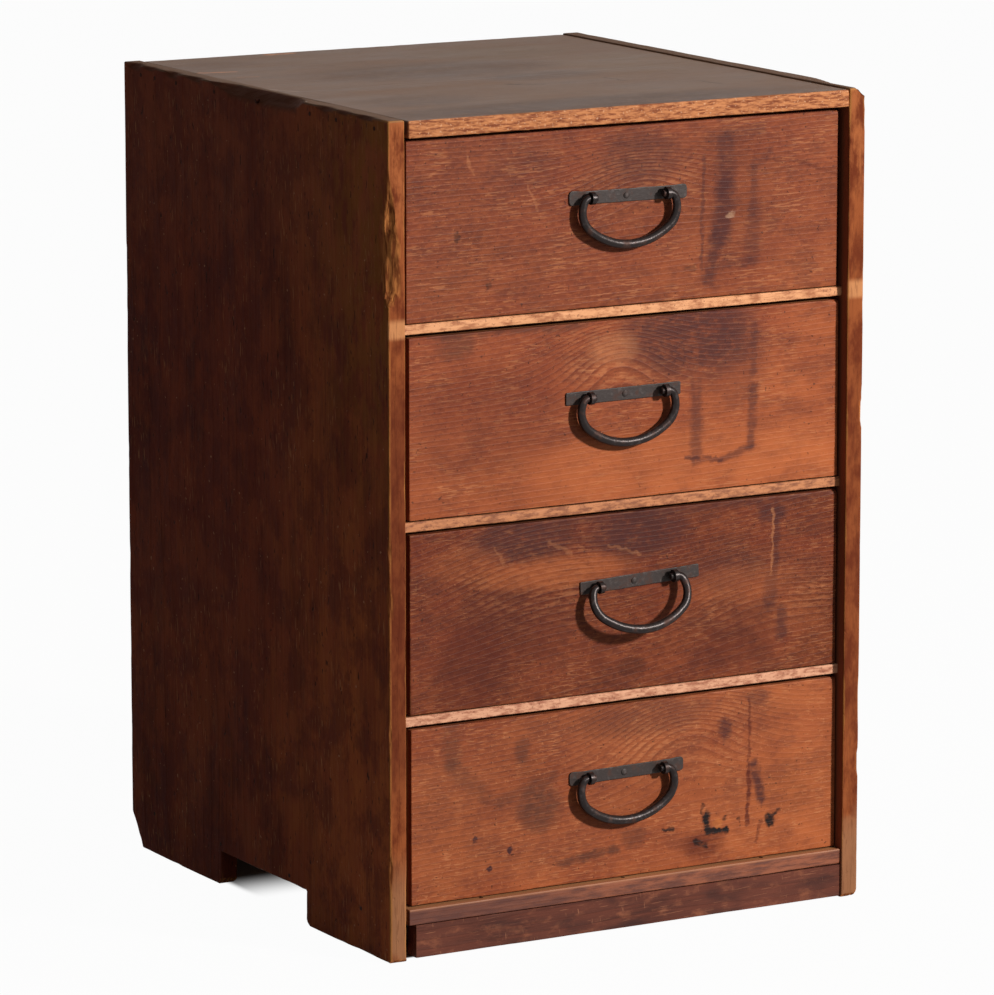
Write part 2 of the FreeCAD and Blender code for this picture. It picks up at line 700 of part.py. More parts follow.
def handle_eye(number, side, sign):
    """Split pin bent from iron strip: a loop outside, two legs clinched inside."""
    name = f"handle_{number}_eye_{side}"
    body = doc.addObject("PartDesign::Body", f"{name}_body")
    legs = sketch_on(body, "YZ_Plane", f"{name}_legs")
    start = "sizes.eye_bore + (sizes.eye_outer - sizes.eye_bore) / 3"
    inside = "sizes.pivot_out + sizes.front_thick"
    clinched = f"{inside} + sizes.eye_leg"
    leg = "sizes.eye_leg"
    end = "sizes.eye_clinch"
    outline(legs, [
        (start, f"-{leg}"), (inside, f"-{leg}"), (inside, f"-{end}"), (clinched, f"-{end}"),
        (clinched, end), (inside, end), (inside, leg), (start, leg),
    ])
    pad(body, f"{name}_legs_pad", legs, "sizes.eye_width", middle=True)
    ring = sketch_on(body, "YZ_Plane", f"{name}_ring")
    circle(ring, ("0", "0"), "sizes.eye_outer")
    circle(ring, ("0", "0"), "sizes.eye_bore")
    pad(body, f"{name}_ring_pad", ring, "sizes.eye_width", middle=True)
    spot = Vector(sign * value("sizes.eye_spacing / 2"), -value("sizes.pivot_out"), 0)
    body.Placement = handle_place(number) * Placement(spot, Rotation())
    named(body, name)


def bail_path(sketch):
    """Right half of the bail's middle line, from its lowest point up to its elbow."""
    drop, corner, elbow = "sizes.bail_drop", "sizes.bail_corner", "sizes.bail_elbow"
    corner_x = f"(sizes.bail_half_width - {corner})"
    corner_z = f"({drop} - sizes.bail_shoulder)"
    elbow_z = f"({drop} - {elbow})"
    reach = f"({corner} - {elbow})"
    elbow_x = f"({corner_x} + sqrt({reach} ^ 2 - ({elbow_z} - {corner_z}) ^ 2))"
    sweep = f"(({corner_x} ^ 2 + {corner_z} ^ 2 - {corner} ^ 2) / (2 * ({corner_z} - {corner})))"
    centres = [("0", sweep), (corner_x, corner_z), (elbow_x, elbow_z)]
    radii = [sweep, corner, elbow]

    middles = [Vector(value(x), value(y), 0) for x, y in centres]
    meeting = []
    for (near, far), text in zip(((0, 1), (1, 2)), radii):
        along = (middles[far] - middles[near]).normalize()
        meeting.append(middles[near] + along * value(text))
    stops = [Vector(0, 0, 0)] + meeting + [Vector(value(elbow_x), value(drop), 0)]
    for index, middle in enumerate(middles):
        start, stop = stops[index] - middle, stops[index + 1] - middle
        ring = Part.Circle(middle, Vector(0, 0, 1), value(radii[index]))
        angles = math.atan2(start.y, start.x), math.atan2(stop.y, stop.x)
        sketch.addGeometry(Part.ArcOfCircle(ring, *angles), False)

    rule = Sketcher.Constraint
    sketch.addConstraint(rule("Tangent", 0, 2, 1, 1))
    sketch.addConstraint(rule("Tangent", 1, 2, 2, 1))
    sketch.addConstraint(rule("PointOnObject", 0, 1, -2))
    sketch.addConstraint(rule("PointOnObject", 0, 3, -2))
    sketch.addConstraint(rule("PointOnObject", 0, 1, -1))
    sketch.addConstraint(rule("Vertical", 2, 3, 2, 2))
    for index, name in ((1, "corner"), (2, "elbow")):
        size = sketch.addConstraint(rule("Radius", index, value(radii[index])))
        sketch.renameConstraint(size, f"{name}_radius")
        sketch.setExpression(f"Constraints.{name}_radius", radii[index])
    pin_distance(sketch, "DistanceX", 1, 3, "corner_x", corner_x)
    pin_distance(sketch, "DistanceY", 1, 3, "corner_z", corner_z)
    pin_distance(sketch, "DistanceY", 2, 3, "elbow_z", elbow_z)
    return elbow_x


def handle_bail(number):
    """Round iron rod bent to a D, thickest at the bottom, its thin ends turned into the eyes."""
    name = f"handle_{number}_bail"
    body = doc.addObject("PartDesign::Body", f"{name}_body")
    path = sketch_on(body, "XZ_Plane", f"{name}_path")
    elbow_x = bail_path(path)
    lowest = sketch_on(body, "YZ_Plane", f"{name}_lowest")
    circle(lowest, ("0", "0"), "sizes.rod_middle")
    elbow = sketch_on(body, "YZ_Plane", f"{name}_elbow", elbow_x)
    circle(elbow, ("0", "sizes.bail_drop"), "sizes.rod_end")
    doc.recompute()
    rod = body.newObject("PartDesign::AdditivePipe", f"{name}_rod")
    rod.Profile = lowest
    rod.Spine = (path, ["Edge1", "Edge2", "Edge3"])
    rod.Transformation = "Multisection"
    rod.Sections = [(elbow, [""])]
    tip = sketch_on(body, "YZ_Plane", f"{name}_tip", "sizes.pin_inner")
    circle(tip, ("0", "sizes.bail_drop"), "sizes.pin_radius")
    end = pad(body, f"{name}_end", tip, f"{elbow_x} + 0.5 - sizes.pin_inner")
    doc.recompute()
    whole = body.newObject("PartDesign::Mirrored", f"{name}_halves")
    whole.Originals = [rod, end]
    whole.MirrorPlane = (origin_plane(body, "YZ_Plane"), [""])
    body.Tip = whole

    pivot = Placement(Vector(0, -value("sizes.pivot_out"), 0), Rotation())
    swing = Placement(Vector(), Rotation(Vector(1, 0, 0), -value(f"sizes.bail_swing_{number}")))
    hang = Placement(Vector(0, 0, -value("sizes.bail_drop")), Rotation())
    body.Placement = handle_place(number) * pivot * swing * hang
    named(body, name)


def handle_nail(number):
    """Small domed nail through the middle of the plate."""
    name = f"handle_{number}_nail"
    body = doc.addObject("PartDesign::Body", f"{name}_body")
    half = sketch_on(body, "XZ_Plane", f"{name}_half")
    long, crown = "sizes.nail_length", "sizes.nail_crown"
    outline(half, [
        ("0", "0"),
        ("sizes.nail_point", "0"),
        ("sizes.nail_shank", long),
        ("sizes.nail_head", long),
        ("sizes.nail_head", f"{long} + {crown} / 3"),
        ("sizes.nail_head * 0.62", f"{long} + {crown} * 0.85"),
        ("0", f"{long} + {crown}"),
    ])
    turned = body.newObject("PartDesign::Revolution", f"{name}_turned")
    turned.Profile = half
    turned.ReferenceAxis = (half, ["V_Axis"])
    turned.Angle = 360
    depth = value("sizes.nail_length - sizes.plate_thick")
    outward = Placement(Vector(0, depth, 0), Rotation(Vector(1, 0, 0), 90))
    body.Placement = handle_place(number) * outward
    named(body, name)


def nail_hole(number):
    """Hole in the drawer front for the plate's nail."""
    hole = doc.addObject("Part::Cone", f"nail_hole_{number}")
    hole.setExpression("Radius1", "sizes.nail_point + sizes.peg_play")
    hole.setExpression("Radius2", "sizes.nail_shank + sizes.peg_play")
    hole.setExpression("Height", "sizes.nail_length")
    depth = value("sizes.nail_length - sizes.plate_thick")
    outward = Placement(Vector(0, depth, 0), Rotation(Vector(1, 0, 0), 90))
    hole.Placement = handle_place(number) * outward
    return hole


def make_handle(number):
    """Every iron piece of one handle."""
    handle_plate(number)
    handle_eye(number, "left", -1)
    handle_eye(number, "right", 1)
    handle_bail(number)
    handle_nail(number)


def check_everything():
    """Stop if anything in the document failed or any piece isn't a sound solid."""
    for item in doc.Objects:
        if "Invalid" in item.State or "Error" in item.State:
            raise RuntimeError(f"{item.Label} failed: {item.State}")
    for label, item in parts.items():
        shape = item.Shape
        if shape.isNull() or not shape.isValid() or not shape.Solids:
            raise RuntimeError(f"{label} isn't a sound solid")


def write_parts():
    """One file for each piece."""
    os.makedirs("parts", exist_ok=True)
    for label, item in sorted(parts.items()):
        item.Shape.exportStep(f"parts/{label}.step")
        box = item.Shape.optimalBoundingBox()
        low = f"{box.XMin:.1f} {box.YMin:.1f} {box.ZMin:.1f}"
        high = f"{box.XMax:.1f} {box.YMax:.1f} {box.ZMax:.1f}"
        print(f"{label}: {len(item.Shape.Solids)} solids, {low} to {high}")


carcass()
for drawer_number in DRAWERS:
    make_drawer(Drawer(drawer_number))
    make_handle(drawer_number)
doc.recompute()
check_everything()
write_parts()
print(f"{len(parts)} pieces")
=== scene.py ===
# %% [markdown]
# # A small chest with four drawers, dressed in Blender
#
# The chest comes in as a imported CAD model: every board, peg and iron piece is there with its true
# size and place, but with hard edges and no finish. This lesson gives each piece the shape that
# years of use have given it, and then its wood or iron.
#
# All lengths below are written in millimetres and turned into Blender's metres with MM.

# %% Load the frame
import math
from dataclasses import dataclass

import bpy
import numpy as np
from mathutils import Matrix, Vector, noise


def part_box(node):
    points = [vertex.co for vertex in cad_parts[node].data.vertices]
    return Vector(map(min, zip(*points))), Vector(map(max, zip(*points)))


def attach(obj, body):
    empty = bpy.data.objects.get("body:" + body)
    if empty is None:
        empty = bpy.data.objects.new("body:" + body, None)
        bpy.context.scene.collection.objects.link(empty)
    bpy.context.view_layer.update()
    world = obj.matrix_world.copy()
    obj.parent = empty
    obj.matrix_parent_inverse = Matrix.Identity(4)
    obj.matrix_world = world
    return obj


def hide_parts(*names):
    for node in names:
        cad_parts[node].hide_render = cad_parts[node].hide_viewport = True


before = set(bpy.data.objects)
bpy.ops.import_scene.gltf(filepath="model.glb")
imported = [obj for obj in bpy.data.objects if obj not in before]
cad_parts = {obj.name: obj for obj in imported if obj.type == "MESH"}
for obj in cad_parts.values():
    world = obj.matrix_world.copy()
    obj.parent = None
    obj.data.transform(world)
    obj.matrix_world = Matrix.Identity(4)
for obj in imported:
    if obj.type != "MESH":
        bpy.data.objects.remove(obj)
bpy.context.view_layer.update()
MM = 0.001

# %% [markdown]
# ## Where the chest is
#
# A piece is placed by asking the CAD model where its node is. span() gives a node's lowest and
# highest value along one axis, in millimetres, so no number has to be copied by hand.


# %% Reading the CAD model's places
def span(node, axis):
    """Lowest and highest place of a CAD node along x, y or z, in millimetres."""
    low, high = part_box(node)
    index = "xyz".index(axis)
    return low[index] / MM, high[index] / MM


def middle_of(node):
    """Middle of a CAD node's box, in millimetres."""
    return Vector([sum(span(node, axis)) / 2 for axis in "xyz"])


FRONT, BACK = span("side_panel_left", "y")
HEIGHT = span("side_panel_left", "z")[1]
DRAWER_FACE = span("drawer_1_front", "y")[0]
DRAWERS = (1, 2, 3, 4)
SHELVES = (1, 2, 3)
print(f"front {FRONT:.1f}, back {BACK:.1f}, height {HEIGHT:.1f}, drawers {DRAWER_FACE:.1f}")

# %% [markdown]
# ## The camera
#
# The photograph was taken with a long lens from the left, a little above the top. The distance
# and the focal length were found by fitting a camera to the corners of the chest.

# %% Camera
CAMERA_TURN = math.radians(-29.778)
CAMERA_RISE = math.radians(10.752)
CAMERA_DISTANCE = 4159.4
FOCAL_PIXELS = 6108.1
PICTURE_PIXELS = 995
TARGET = Vector((6.75, (FRONT + BACK) / 2, 259.75))

toward_camera = Vector((
    math.sin(CAMERA_TURN) * math.cos(CAMERA_RISE),
    -math.cos(CAMERA_TURN) * math.cos(CAMERA_RISE),
    math.sin(CAMERA_RISE)))
lens = bpy.data.cameras.new("camera")
lens.sensor_width = 36
lens.lens = FOCAL_PIXELS / PICTURE_PIXELS * lens.sensor_width
lens.clip_end = 100
camera = bpy.data.objects.new("camera", lens)
camera.location = (TARGET + CAMERA_DISTANCE * toward_camera) * MM
camera.rotation_euler = toward_camera.to_track_quat("Z", "Y").to_euler()
bpy.context.scene.collection.objects.link(camera)
bpy.context.scene.camera = camera
print(f"lens {lens.lens:.0f} mm at {CAMERA_DISTANCE * MM:.2f} m")

# %% [markdown]
# ## Writing shader maths as Python
#
# A finish is a graph of nodes. Wiring it by hand is slow to read, so two small classes do it.
# Finish is the graph of one material or of the world, and its node() method adds any node.
# Signal is what comes out of a node's socket, and Python's own + - * / ** work on it.


# %% Signals and finishes
class Signal:
    """What comes out of a node's socket, for arithmetic in plain Python."""

    def __init__(self, finish, socket):
        self.finish = finish
        self.socket = socket

    def math(self, operation, *values):
        """One Math node on the values, which are numbers or signals."""
        inputs = dict(enumerate(values))
        return self.finish.node("ShaderNodeMath", {"operation": operation}, inputs)

    def beside(self, name):
        """Another output of the same node."""
        return Signal(self.finish, self.socket.node.outputs[name])

    def clamped(self):
        """The same value, held between 0 and 1."""
        return self.math("MAXIMUM", self.math("MINIMUM", self, 1.0), 0.0)

    def __add__(self, other):
        return self.math("ADD", self, other)

    def __sub__(self, other):
        return self.math("SUBTRACT", self, other)

    def __rsub__(self, other):
        return self.math("SUBTRACT", other, self)

    def __mul__(self, other):
        return self.math("MULTIPLY", self, other)

    def __truediv__(self, other):
        return self.math("DIVIDE", self, other)

    def __pow__(self, other):
        return self.math("POWER", self, other)

    __radd__ = __add__
    __rmul__ = __mul__


class Finish:
    """The shader nodes of a material or of the world."""

    def __init__(self, owner):
        self.owner = owner
        owner.use_nodes = True
        self.tree = owner.node_tree
        self.tree.nodes.clear()

    def node(self, kind, settings=None, inputs=None, output=0):
        """Add a node: its settings come first, then the values or links of its sockets."""
        made = self.tree.nodes.new(kind)
        for name, value in (settings or {}).items():
            setattr(made, name, value)
        for name, value in (inputs or {}).items():
            socket = made.inputs[name]
            if isinstance(value, Signal):
                self.tree.links.new(value.socket, socket)
            else:
                socket.default_value = value
        return Signal(self, made.outputs[output]) if made.outputs else None


def ease(value, start, end):
    """0 before start, 1 after end, and a smooth rise between. start may be the higher."""
    return value.finish.node(
        "ShaderNodeMapRange",
        {"interpolation_type": "SMOOTHSTEP", "clamp": True},
        {"Value": value, "From Min": start, "From Max": end, "To Min": 0.0, "To Max": 1.0})


def mix(share, first, second):
    """Two colours mixed: none of the second where share is 0, all of it where it's 1."""
    return share.finish.node(
        "ShaderNodeMix", {"data_type": "RGBA", "clamp_factor": True},
        {0: share, 6: first, 7: second}, output=2)


def give_skin(finish, relief, depth, height, **sockets):
    """End a material with a Principled surface. Its bump is depth millimetres deep."""
    bump = finish.node("ShaderNodeBump", inputs={
        "Strength": relief, "Distance": depth * MM, "Height": height})
    inputs = {name.replace("_", " "): value for name, value in sockets.items()}
    surface = finish.node("ShaderNodeBsdfPrincipled", inputs={**inputs, "Normal": bump})
    finish.node("ShaderNodeOutputMaterial", inputs={"Surface": surface})
    return finish


def paint(red, green, blue):
    """A colour as picked from a picture, 0 to 255, in the linear values that shaders use."""
    def linear(level):
        level /= 255
        return level / 12.92 if level <= 0.04045 else ((level + 0.055) / 1.055) ** 2.4
    return (linear(red), linear(green), linear(blue), 1.0)


print("shader helpers ready; a mid brown is", tuple(round(v, 3) for v in paint(150, 85, 55)))

# %% [markdown]
# ## The room
#
# The chest stands on a plain pale floor with nothing behind it. A lamp in front, high and to the
# right, shines across the drawers, which is what throws the handles' shadows to the lower left
# and leaves the left side dim. The world is a weak even light from all around. Rays that come
# straight from the camera, or that a shiny surface sends back, see it as white.

# %% Floor, world and lamp
KEY_DIRECTION = Vector((0.44, -0.81, 0.40))
KEY_DISTANCE = 3.35
KEY_SIZE = 0.28
KEY_POWER = 160
AMBIENT = 0.14
FLOOR_SIZE = 60
FLOOR_GLOW = 0.97
LAMP_COLOUR = (1.0, 0.965, 0.92)
WHITE = (1, 1, 1, 1)


def seen_directly(finish):
    """1 for a ray that shows the background, 0 for one that carries light."""
    path = finish.node("ShaderNodeLightPath")
    either = path.math("MAXIMUM", path, path.beside("Is Glossy Ray"))
    return path.math("MAXIMUM", either, path.beside("Is Transmission Ray"))


def under_chest(finish):
    """1 on the floor behind the plinth and between the rear feet, where it's dark."""
    place = finish.node("ShaderNodeTexCoord").beside("Object")
    split = finish.node("ShaderNodeSeparateXYZ", inputs={0: place})
    across, along = split.beside("X") / MM, split.beside("Y") / MM
    between = ease(across.math("ABSOLUTE", across), 176, 168)
    behind_plinth = ease(along, FRONT + 8, FRONT + 12) * ease(along, -60, -85)
    rear = ease(along, 10, 75) * ease(along, BACK + 5, BACK - 20)
    return (behind_plinth + rear) * between


def make_floor():
    """A wide pale plane. The camera sees it nearly white, with the chest's shadow on it."""
    bpy.ops.mesh.primitive_plane_add(size=FLOOR_SIZE)
    floor = bpy.context.object
    floor.name = "floor"
    finish = Finish(bpy.data.materials.new("floor"))
    paper = finish.node("ShaderNodeBsdfDiffuse", inputs={"Color": paint(160, 158, 155)})
    glow = finish.node("ShaderNodeEmission", inputs={"Color": WHITE, "Strength": 1.0})
    share = seen_directly(finish) * FLOOR_GLOW * (1 - under_chest(finish))
    surface = finish.node("ShaderNodeMixShader", inputs={0: share, 1: paper, 2: glow})
    finish.node("ShaderNodeOutputMaterial", inputs={"Surface": surface})
    floor.data.materials.append(finish.owner)


def make_world():
    """An even white light, dim for the chest and bright for the eye."""
    world = bpy.data.worlds.new("world")
    bpy.context.scene.world = world
    sky = Finish(world)
    dim = sky.node("ShaderNodeBackground", inputs={"Color": WHITE, "Strength": AMBIENT})
    bright = sky.node("ShaderNodeBackground", inputs={"Color": WHITE, "Strength": 1.0})
    surface = sky.node("ShaderNodeMixShader", inputs={0: seen_directly(sky), 1: dim, 2: bright})
    sky.node("ShaderNodeOutputWorld", inputs={"Surface": surface})


def make_key():
    """The one lamp, aimed at the chest."""
    lamp = bpy.data.lights.new("key", "AREA")
    lamp.size = KEY_SIZE
    lamp.energy = KEY_POWER
    lamp.color = LAMP_COLOUR
    key = bpy.data.objects.new("key", lamp)
    bpy.context.scene.collection.objects.link(key)
    direction = KEY_DIRECTION.normalized()
    key.location = TARGET * MM + direction * KEY_DISTANCE
    key.rotation_euler = direction.to_track_quat("Z", "Y").to_euler()


bpy.context.scene.view_settings.view_transform = "Standard"
make_floor()
make_world()
make_key()
print("floor, world and one lamp")

# %% [markdown]
# ## One way to make a board
#
# Every wooden piece here is a board, so they're all made the same way, as on a bench: a flat
# grid of the board's size, ruled close together near its edges, its notches cut out, given its
# thickness, and then worn. On the bench a board lies flat, with u and v along it and w through
# it. Afterwards it's stood up, so that w runs along x, y or z of the chest.

# %% Ruling a grid
EDGE_LINES = (0.35, 0.9, 1.7, 3.0)
STAND_UP = {
    "x": Matrix(((0, 0, 1, 0), (1, 0, 0, 0), (0, 1, 0, 0), (0, 0, 0, 1))),
    "y": Matrix(((0, 1, 0, 0), (0, 0, 1, 0), (1, 0, 0, 0), (0, 0, 0, 1))),
    "z": Matrix.Identity(4),
}


def pick(piece):
    """Make one piece the only one that operators act on."""
    bpy.ops.object.select_all(action="DESELECT")
    piece.select_set(True)
    bpy.context.view_layer.objects.active = piece


def pick_parts(piece, kind, is_wanted):
    """Go into edit mode with only the wanted edges or faces selected."""
    bpy.ops.object.mode_set(mode="EDIT")
    bpy.ops.mesh.select_mode(type=kind)
    bpy.ops.mesh.select_all(action="DESELECT")
    bpy.ops.object.mode_set(mode="OBJECT")
    for part in piece.data.edges if kind == "EDGE" else piece.data.polygons:
        part.select = is_wanted(part)
    bpy.ops.object.mode_set(mode="EDIT")


def give_size(piece, size, middle):
    """Give a new primitive of size 1 its own size and middle, both in millimetres."""
    piece.scale = Vector(size) * MM
    piece.location = Vector(middle) * MM
    bpy.ops.object.transform_apply(location=True, rotation=True, scale=True)


def rule_across(places, normal):
    """In edit mode, rule a line across the whole mesh at each place along the normal."""
    for place in places:
        bpy.ops.mesh.select_all(action="SELECT")
        bpy.ops.mesh.bisect(plane_co=[part * place * MM for part in normal], plane_no=normal)


def ruling(edges, cell, lines):
    """Places of grid lines: on each edge, close together beside it, and a cell apart between."""
    beside = {edge + sign * line for edge in edges for line in (0, *lines) for sign in (-1, 1)}
    fixed = sorted(place for place in {round(place, 3) for place in beside}
                   if min(edges) <= place <= max(edges))
    ruled = [fixed[0]]
    for start, end in zip(fixed, fixed[1:]):
        steps = max(1, math.ceil((end - start) / cell))
        ruled += [start + (end - start) * step / steps for step in range(1, steps + 1)]
    return ruled


def ruled_grid(us, vs, w):
    """A flat mesh whose columns and rows stand at the given places."""
    columns, rows = len(us) - 1, len(vs) - 1
    bpy.ops.object.select_all(action="DESELECT")
    bpy.ops.mesh.primitive_grid_add(x_subdivisions=columns, y_subdivisions=rows, size=1)
    piece = bpy.context.object
    for vertex in piece.data.vertices:
        column = round((vertex.co.x + 0.5) * columns)
        row = round((vertex.co.y + 0.5) * rows)
        vertex.co = Vector((us[column], vs[row], w)) * MM
    return piece


def is_inside(corners, u, v):
    """Whether a point lies within a polygon."""
    inside = False
    for (u1, v1), (u2, v2) in zip(corners, corners[1:] + corners[:1]):
        if (v1 > v) != (v2 > v) and u < u1 + (v - v1) * (u2 - u1) / (v2 - v1):
            inside = not inside
    return inside


def rectangle(u_span, v_span):
    """Corners of a rectangle, counter-clockwise."""
    (u0, u1), (v0, v1) = u_span, v_span
    return [(u0, v0), (u1, v0), (u1, v1), (u0, v1)]


print("a board is ruled at", EDGE_LINES, "mm from each edge")

# %% [markdown]
# ## Wear
#
# An arris is the sharp edge where two faces meet. Use rounds it, more in some places than in
# others, and now and then a splinter breaks off. Both are done by moving vertices, because a
# bevel would be the same all along. How far a vertex has moved is kept in two attributes, so
# that the finish can show paler wood on a worn arris and dark dirt in an old break.


# %% Chips and worn arrises
@dataclass
class Chip:
    """A splinter broken off an arris. Places are in bench coordinates, u, v and w.

    before and after say how far it reaches from its middle, downwards and upwards along each.
    """

    middle: tuple
    before: tuple
    after: tuple
    depth: float
    steepness: float = 2.0

    def depths_at(self, spots):
        """How deep the chip is at each spot."""
        away = spots - np.array(self.middle)
        reach = np.where(away < 0, self.before, self.after)
        distance = np.sqrt(((away / reach) ** 2).sum(axis=1))
        return self.depth * np.clip(self.steepness * (1 - distance), 0, 1)


def wander(spots, size, seed):
    """Smooth noise between about -1 and 1 at each spot. size is its grain in millimetres."""
    shift = Vector((seed * 17.3, seed * 5.1, seed * 9.7))
    return np.array([noise.noise(Vector(spot) / size + shift) for spot in spots])


def faces_of(spots, corners, w_span):
    """How deep each spot lies under every face of a board, and each face's way inward."""
    depths = [spots[:, 2] - w_span[0], w_span[1] - spots[:, 2]]
    inward = [(0, 0, 1), (0, 0, -1)]
    for (u1, v1), (u2, v2) in zip(corners, corners[1:] + corners[:1]):
        edge = np.array([u2 - u1, v2 - v1])
        way = np.array([-edge[1], edge[0]]) / np.hypot(*edge)
        offset = spots[:, :2] - (u1, v1)
        along = offset @ edge / (edge @ edge)
        depth = offset @ way
        beyond = (depth < -0.01) | (along < -0.001) | (along > 1.001)
        depths.append(np.where(beyond, np.inf, depth))
        inward.append((way[0], way[1], 0))
    return np.array(depths), np.array(inward, dtype=float)


def read_vectors(vertices, name):
    """The place or normal of every vertex, one row each."""
    values = np.empty(len(vertices) * 3)
    vertices.foreach_get(name, values)
    return values.reshape(-1, 3)


def wear(piece, corners, w_span, base, extra, seed, chips=()):
    """Round the arrises of a board that still lies on the bench, and break its chips off."""
    mesh = piece.data
    spots = read_vectors(mesh.vertices, "co") / MM
    depths, inward = faces_of(spots, corners, w_span)

    close = np.where((depths < base + extra * 2).sum(axis=0) >= 2)[0]
    radii = np.zeros(len(spots))
    uneven = 1.3 * wander(spots[close], 48, seed) + 0.5 * wander(spots[close], 6, seed)
    radii[close] = base + extra * np.clip(uneven, 0, None)
    gaps = np.clip(radii - depths, 0, None)
    total = np.sqrt((gaps ** 2).sum(axis=0))
    shrink = np.where(total > radii, 1 - radii / np.maximum(total, 1e-9), 0)
    moved = (gaps * shrink).T @ inward

    broken = np.zeros(len(spots))
    for chip in chips:
        chipped = chip.depths_at(spots)
        struck = np.where(chipped > 0.2)[0]
        chipped[struck] *= 0.94 + 0.2 * wander(spots[struck], 8, seed + 5)
        own = faces_of(np.array([chip.middle]), corners, w_span)[0][:, 0]
        pair = np.argsort(own, kind="stable")[:2]
        lack = np.clip(chipped - depths[pair].sum(axis=0), 0, None) / 2
        cut = lack[:, None] * inward[pair].sum(axis=0)
        deeper = lack > np.linalg.norm(moved, axis=1) / math.sqrt(2)
        moved = np.where(deeper[:, None], cut, moved)
        broken = np.maximum(broken, np.clip(lack / 0.4, 0, 1))

    mesh.vertices.foreach_set("co", ((spots + moved) * MM).ravel())
    paler_share = np.clip(np.linalg.norm(moved, axis=1) / 0.5, 0, 1) * (1 - broken)
    for name, values in (("worn", paler_share), ("broken", broken)):
        mesh.attributes.new(name, "FLOAT", "POINT").data.foreach_set("value", values)
    mesh.update()


def sink(piece, depth, sizes, seed):
    """Sink the surface unevenly by up to depth, with a broad and a small noise."""
    vertices = piece.data.vertices
    spots = read_vectors(vertices, "co")
    broad, small = (wander(spots / MM, size, seed) for size in sizes)
    depths = depth * np.clip(0.5 + 0.37 * broad + 0.13 * small, 0, None) * MM
    spots -= depths[:, None] * read_vectors(vertices, "normal")
    vertices.foreach_set("co", spots.ravel())
    piece.data.update()


print("wear rounds arrises and breaks chips off; sink lowers the faces a little")


# %% The board itself
def board(name, axis, corners, w_span, cells=(9, 9), base=0.5, extra=0.9, seed=0, chips=(),
          lines=EDGE_LINES, sunk=0.2):
    """A worn board of any outline. Its corners are (u, v) in millimetres on the bench."""
    us = ruling([corner[0] for corner in corners], cells[0], lines)
    vs = ruling([corner[1] for corner in corners], cells[1], lines)
    piece = ruled_grid(us, vs, w_span[0])
    piece.name = name
    bpy.ops.object.mode_set(mode="EDIT")
    for (u1, v1), (u2, v2) in zip(corners, corners[1:] + corners[:1]):
        if u1 != u2 and v1 != v2:
            bpy.ops.mesh.select_all(action="SELECT")
            slope = Vector((v1 - v2, u2 - u1, 0)).normalized()
            bpy.ops.mesh.bisect(plane_co=Vector((u1, v1, w_span[0])) * MM, plane_no=slope)
    bpy.ops.object.mode_set(mode="OBJECT")
    if len(corners) > 4:
        pick_parts(piece, "FACE", lambda face: not is_inside(
            corners, face.center.x / MM, face.center.y / MM))
        bpy.ops.mesh.delete(type="FACE")
        bpy.ops.mesh.select_mode(type="VERT")
        bpy.ops.object.mode_set(mode="OBJECT")

    thick = w_span[1] - w_span[0]
    thickness = piece.modifiers.new("thickness", "SOLIDIFY")
    thickness.thickness = thick * MM
    thickness.offset = 1
    bpy.ops.object.modifier_apply(modifier="thickness")
    bpy.ops.object.mode_set(mode="EDIT")
    for line in lines:
        if line < thick / 2:
            rule_across((w_span[0] + line, w_span[1] - line), (0, 0, 1))
    bpy.ops.object.mode_set(mode="OBJECT")
    wear(piece, corners, w_span, base, extra, seed, chips)
    sink(piece, sunk, (70, 16), seed)
    piece.data.transform(STAND_UP[axis])
    piece.data.update()
    return piece


def carve(piece, boxes, way="DIFFERENCE"):
    """Cut rectangular grooves or rebates, or add tongues, each given by its x, y, z spans."""
    bpy.ops.object.select_all(action="DESELECT")
    cutters = []
    for spans in boxes:
        bpy.ops.mesh.primitive_cube_add(size=1)
        cutter = bpy.context.object
        give_size(cutter, [high - low for low, high in spans],
                  [(low + high) / 2 for low, high in spans])
        cutters.append(cutter)
    for cutter in cutters:
        cutter.select_set(True)
    if len(cutters) > 1:
        bpy.ops.object.join()
    tool = bpy.context.object
    pick(piece)
    cut = piece.modifiers.new("carve", "BOOLEAN")
    cut.operation = way
    cut.object = tool
    cut.solver = "EXACT"
    bpy.ops.object.modifier_apply(modifier="carve")
    bpy.data.objects.remove(tool)
    return piece


def face_outward(piece):
    """Turn the faces of a closed piece over if it has come out inside out."""
    piece.data.calc_loop_triangles()
    volume = sum(part.area * part.normal.dot(part.center) for part in piece.data.loop_triangles)
    if volume < 0:
        bpy.ops.object.mode_set(mode="EDIT")
        bpy.ops.mesh.select_all(action="SELECT")
        bpy.ops.mesh.flip_normals()
        bpy.ops.object.mode_set(mode="OBJECT")


def coat(piece, finish):
    """Give a piece one finish all over."""
    piece.data.materials.clear()
    piece.data.materials.append(finish.owner)


def settle(piece, body, slot, finish, *nodes):
    """Smooth a finished piece, give it its finish and let it stand for its CAD node."""
    pick(piece)
    face_outward(piece)
    bpy.ops.object.shade_smooth_by_angle(angle=math.radians(35))
    coat(piece, finish)
    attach(piece, body)
    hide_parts(*nodes)


print("the board tool is ready")

# %% [markdown]
# ## Wood
#
# The boards are softwood. What shows on a face is a slice through the tree's growth rings: rings
# cut far from the tree's middle give straight parallel lines, and rings cut near it give arches.
# So the pattern is computed as the tree makes it, from the distance to a middle line (the pith)
# that lies beside each board, and it meets correctly on faces, edges and end grain. Where a
# branch once was, the rings swell around it, which gives the arches on the drawer fronts.
#
# In each ring the pale, soft early wood darkens slowly into hard late wood and stops sharply.
# Along the grain run fine fibres. Both also drive a small bump, because the soft wood wears
# away first and leaves the late wood standing.


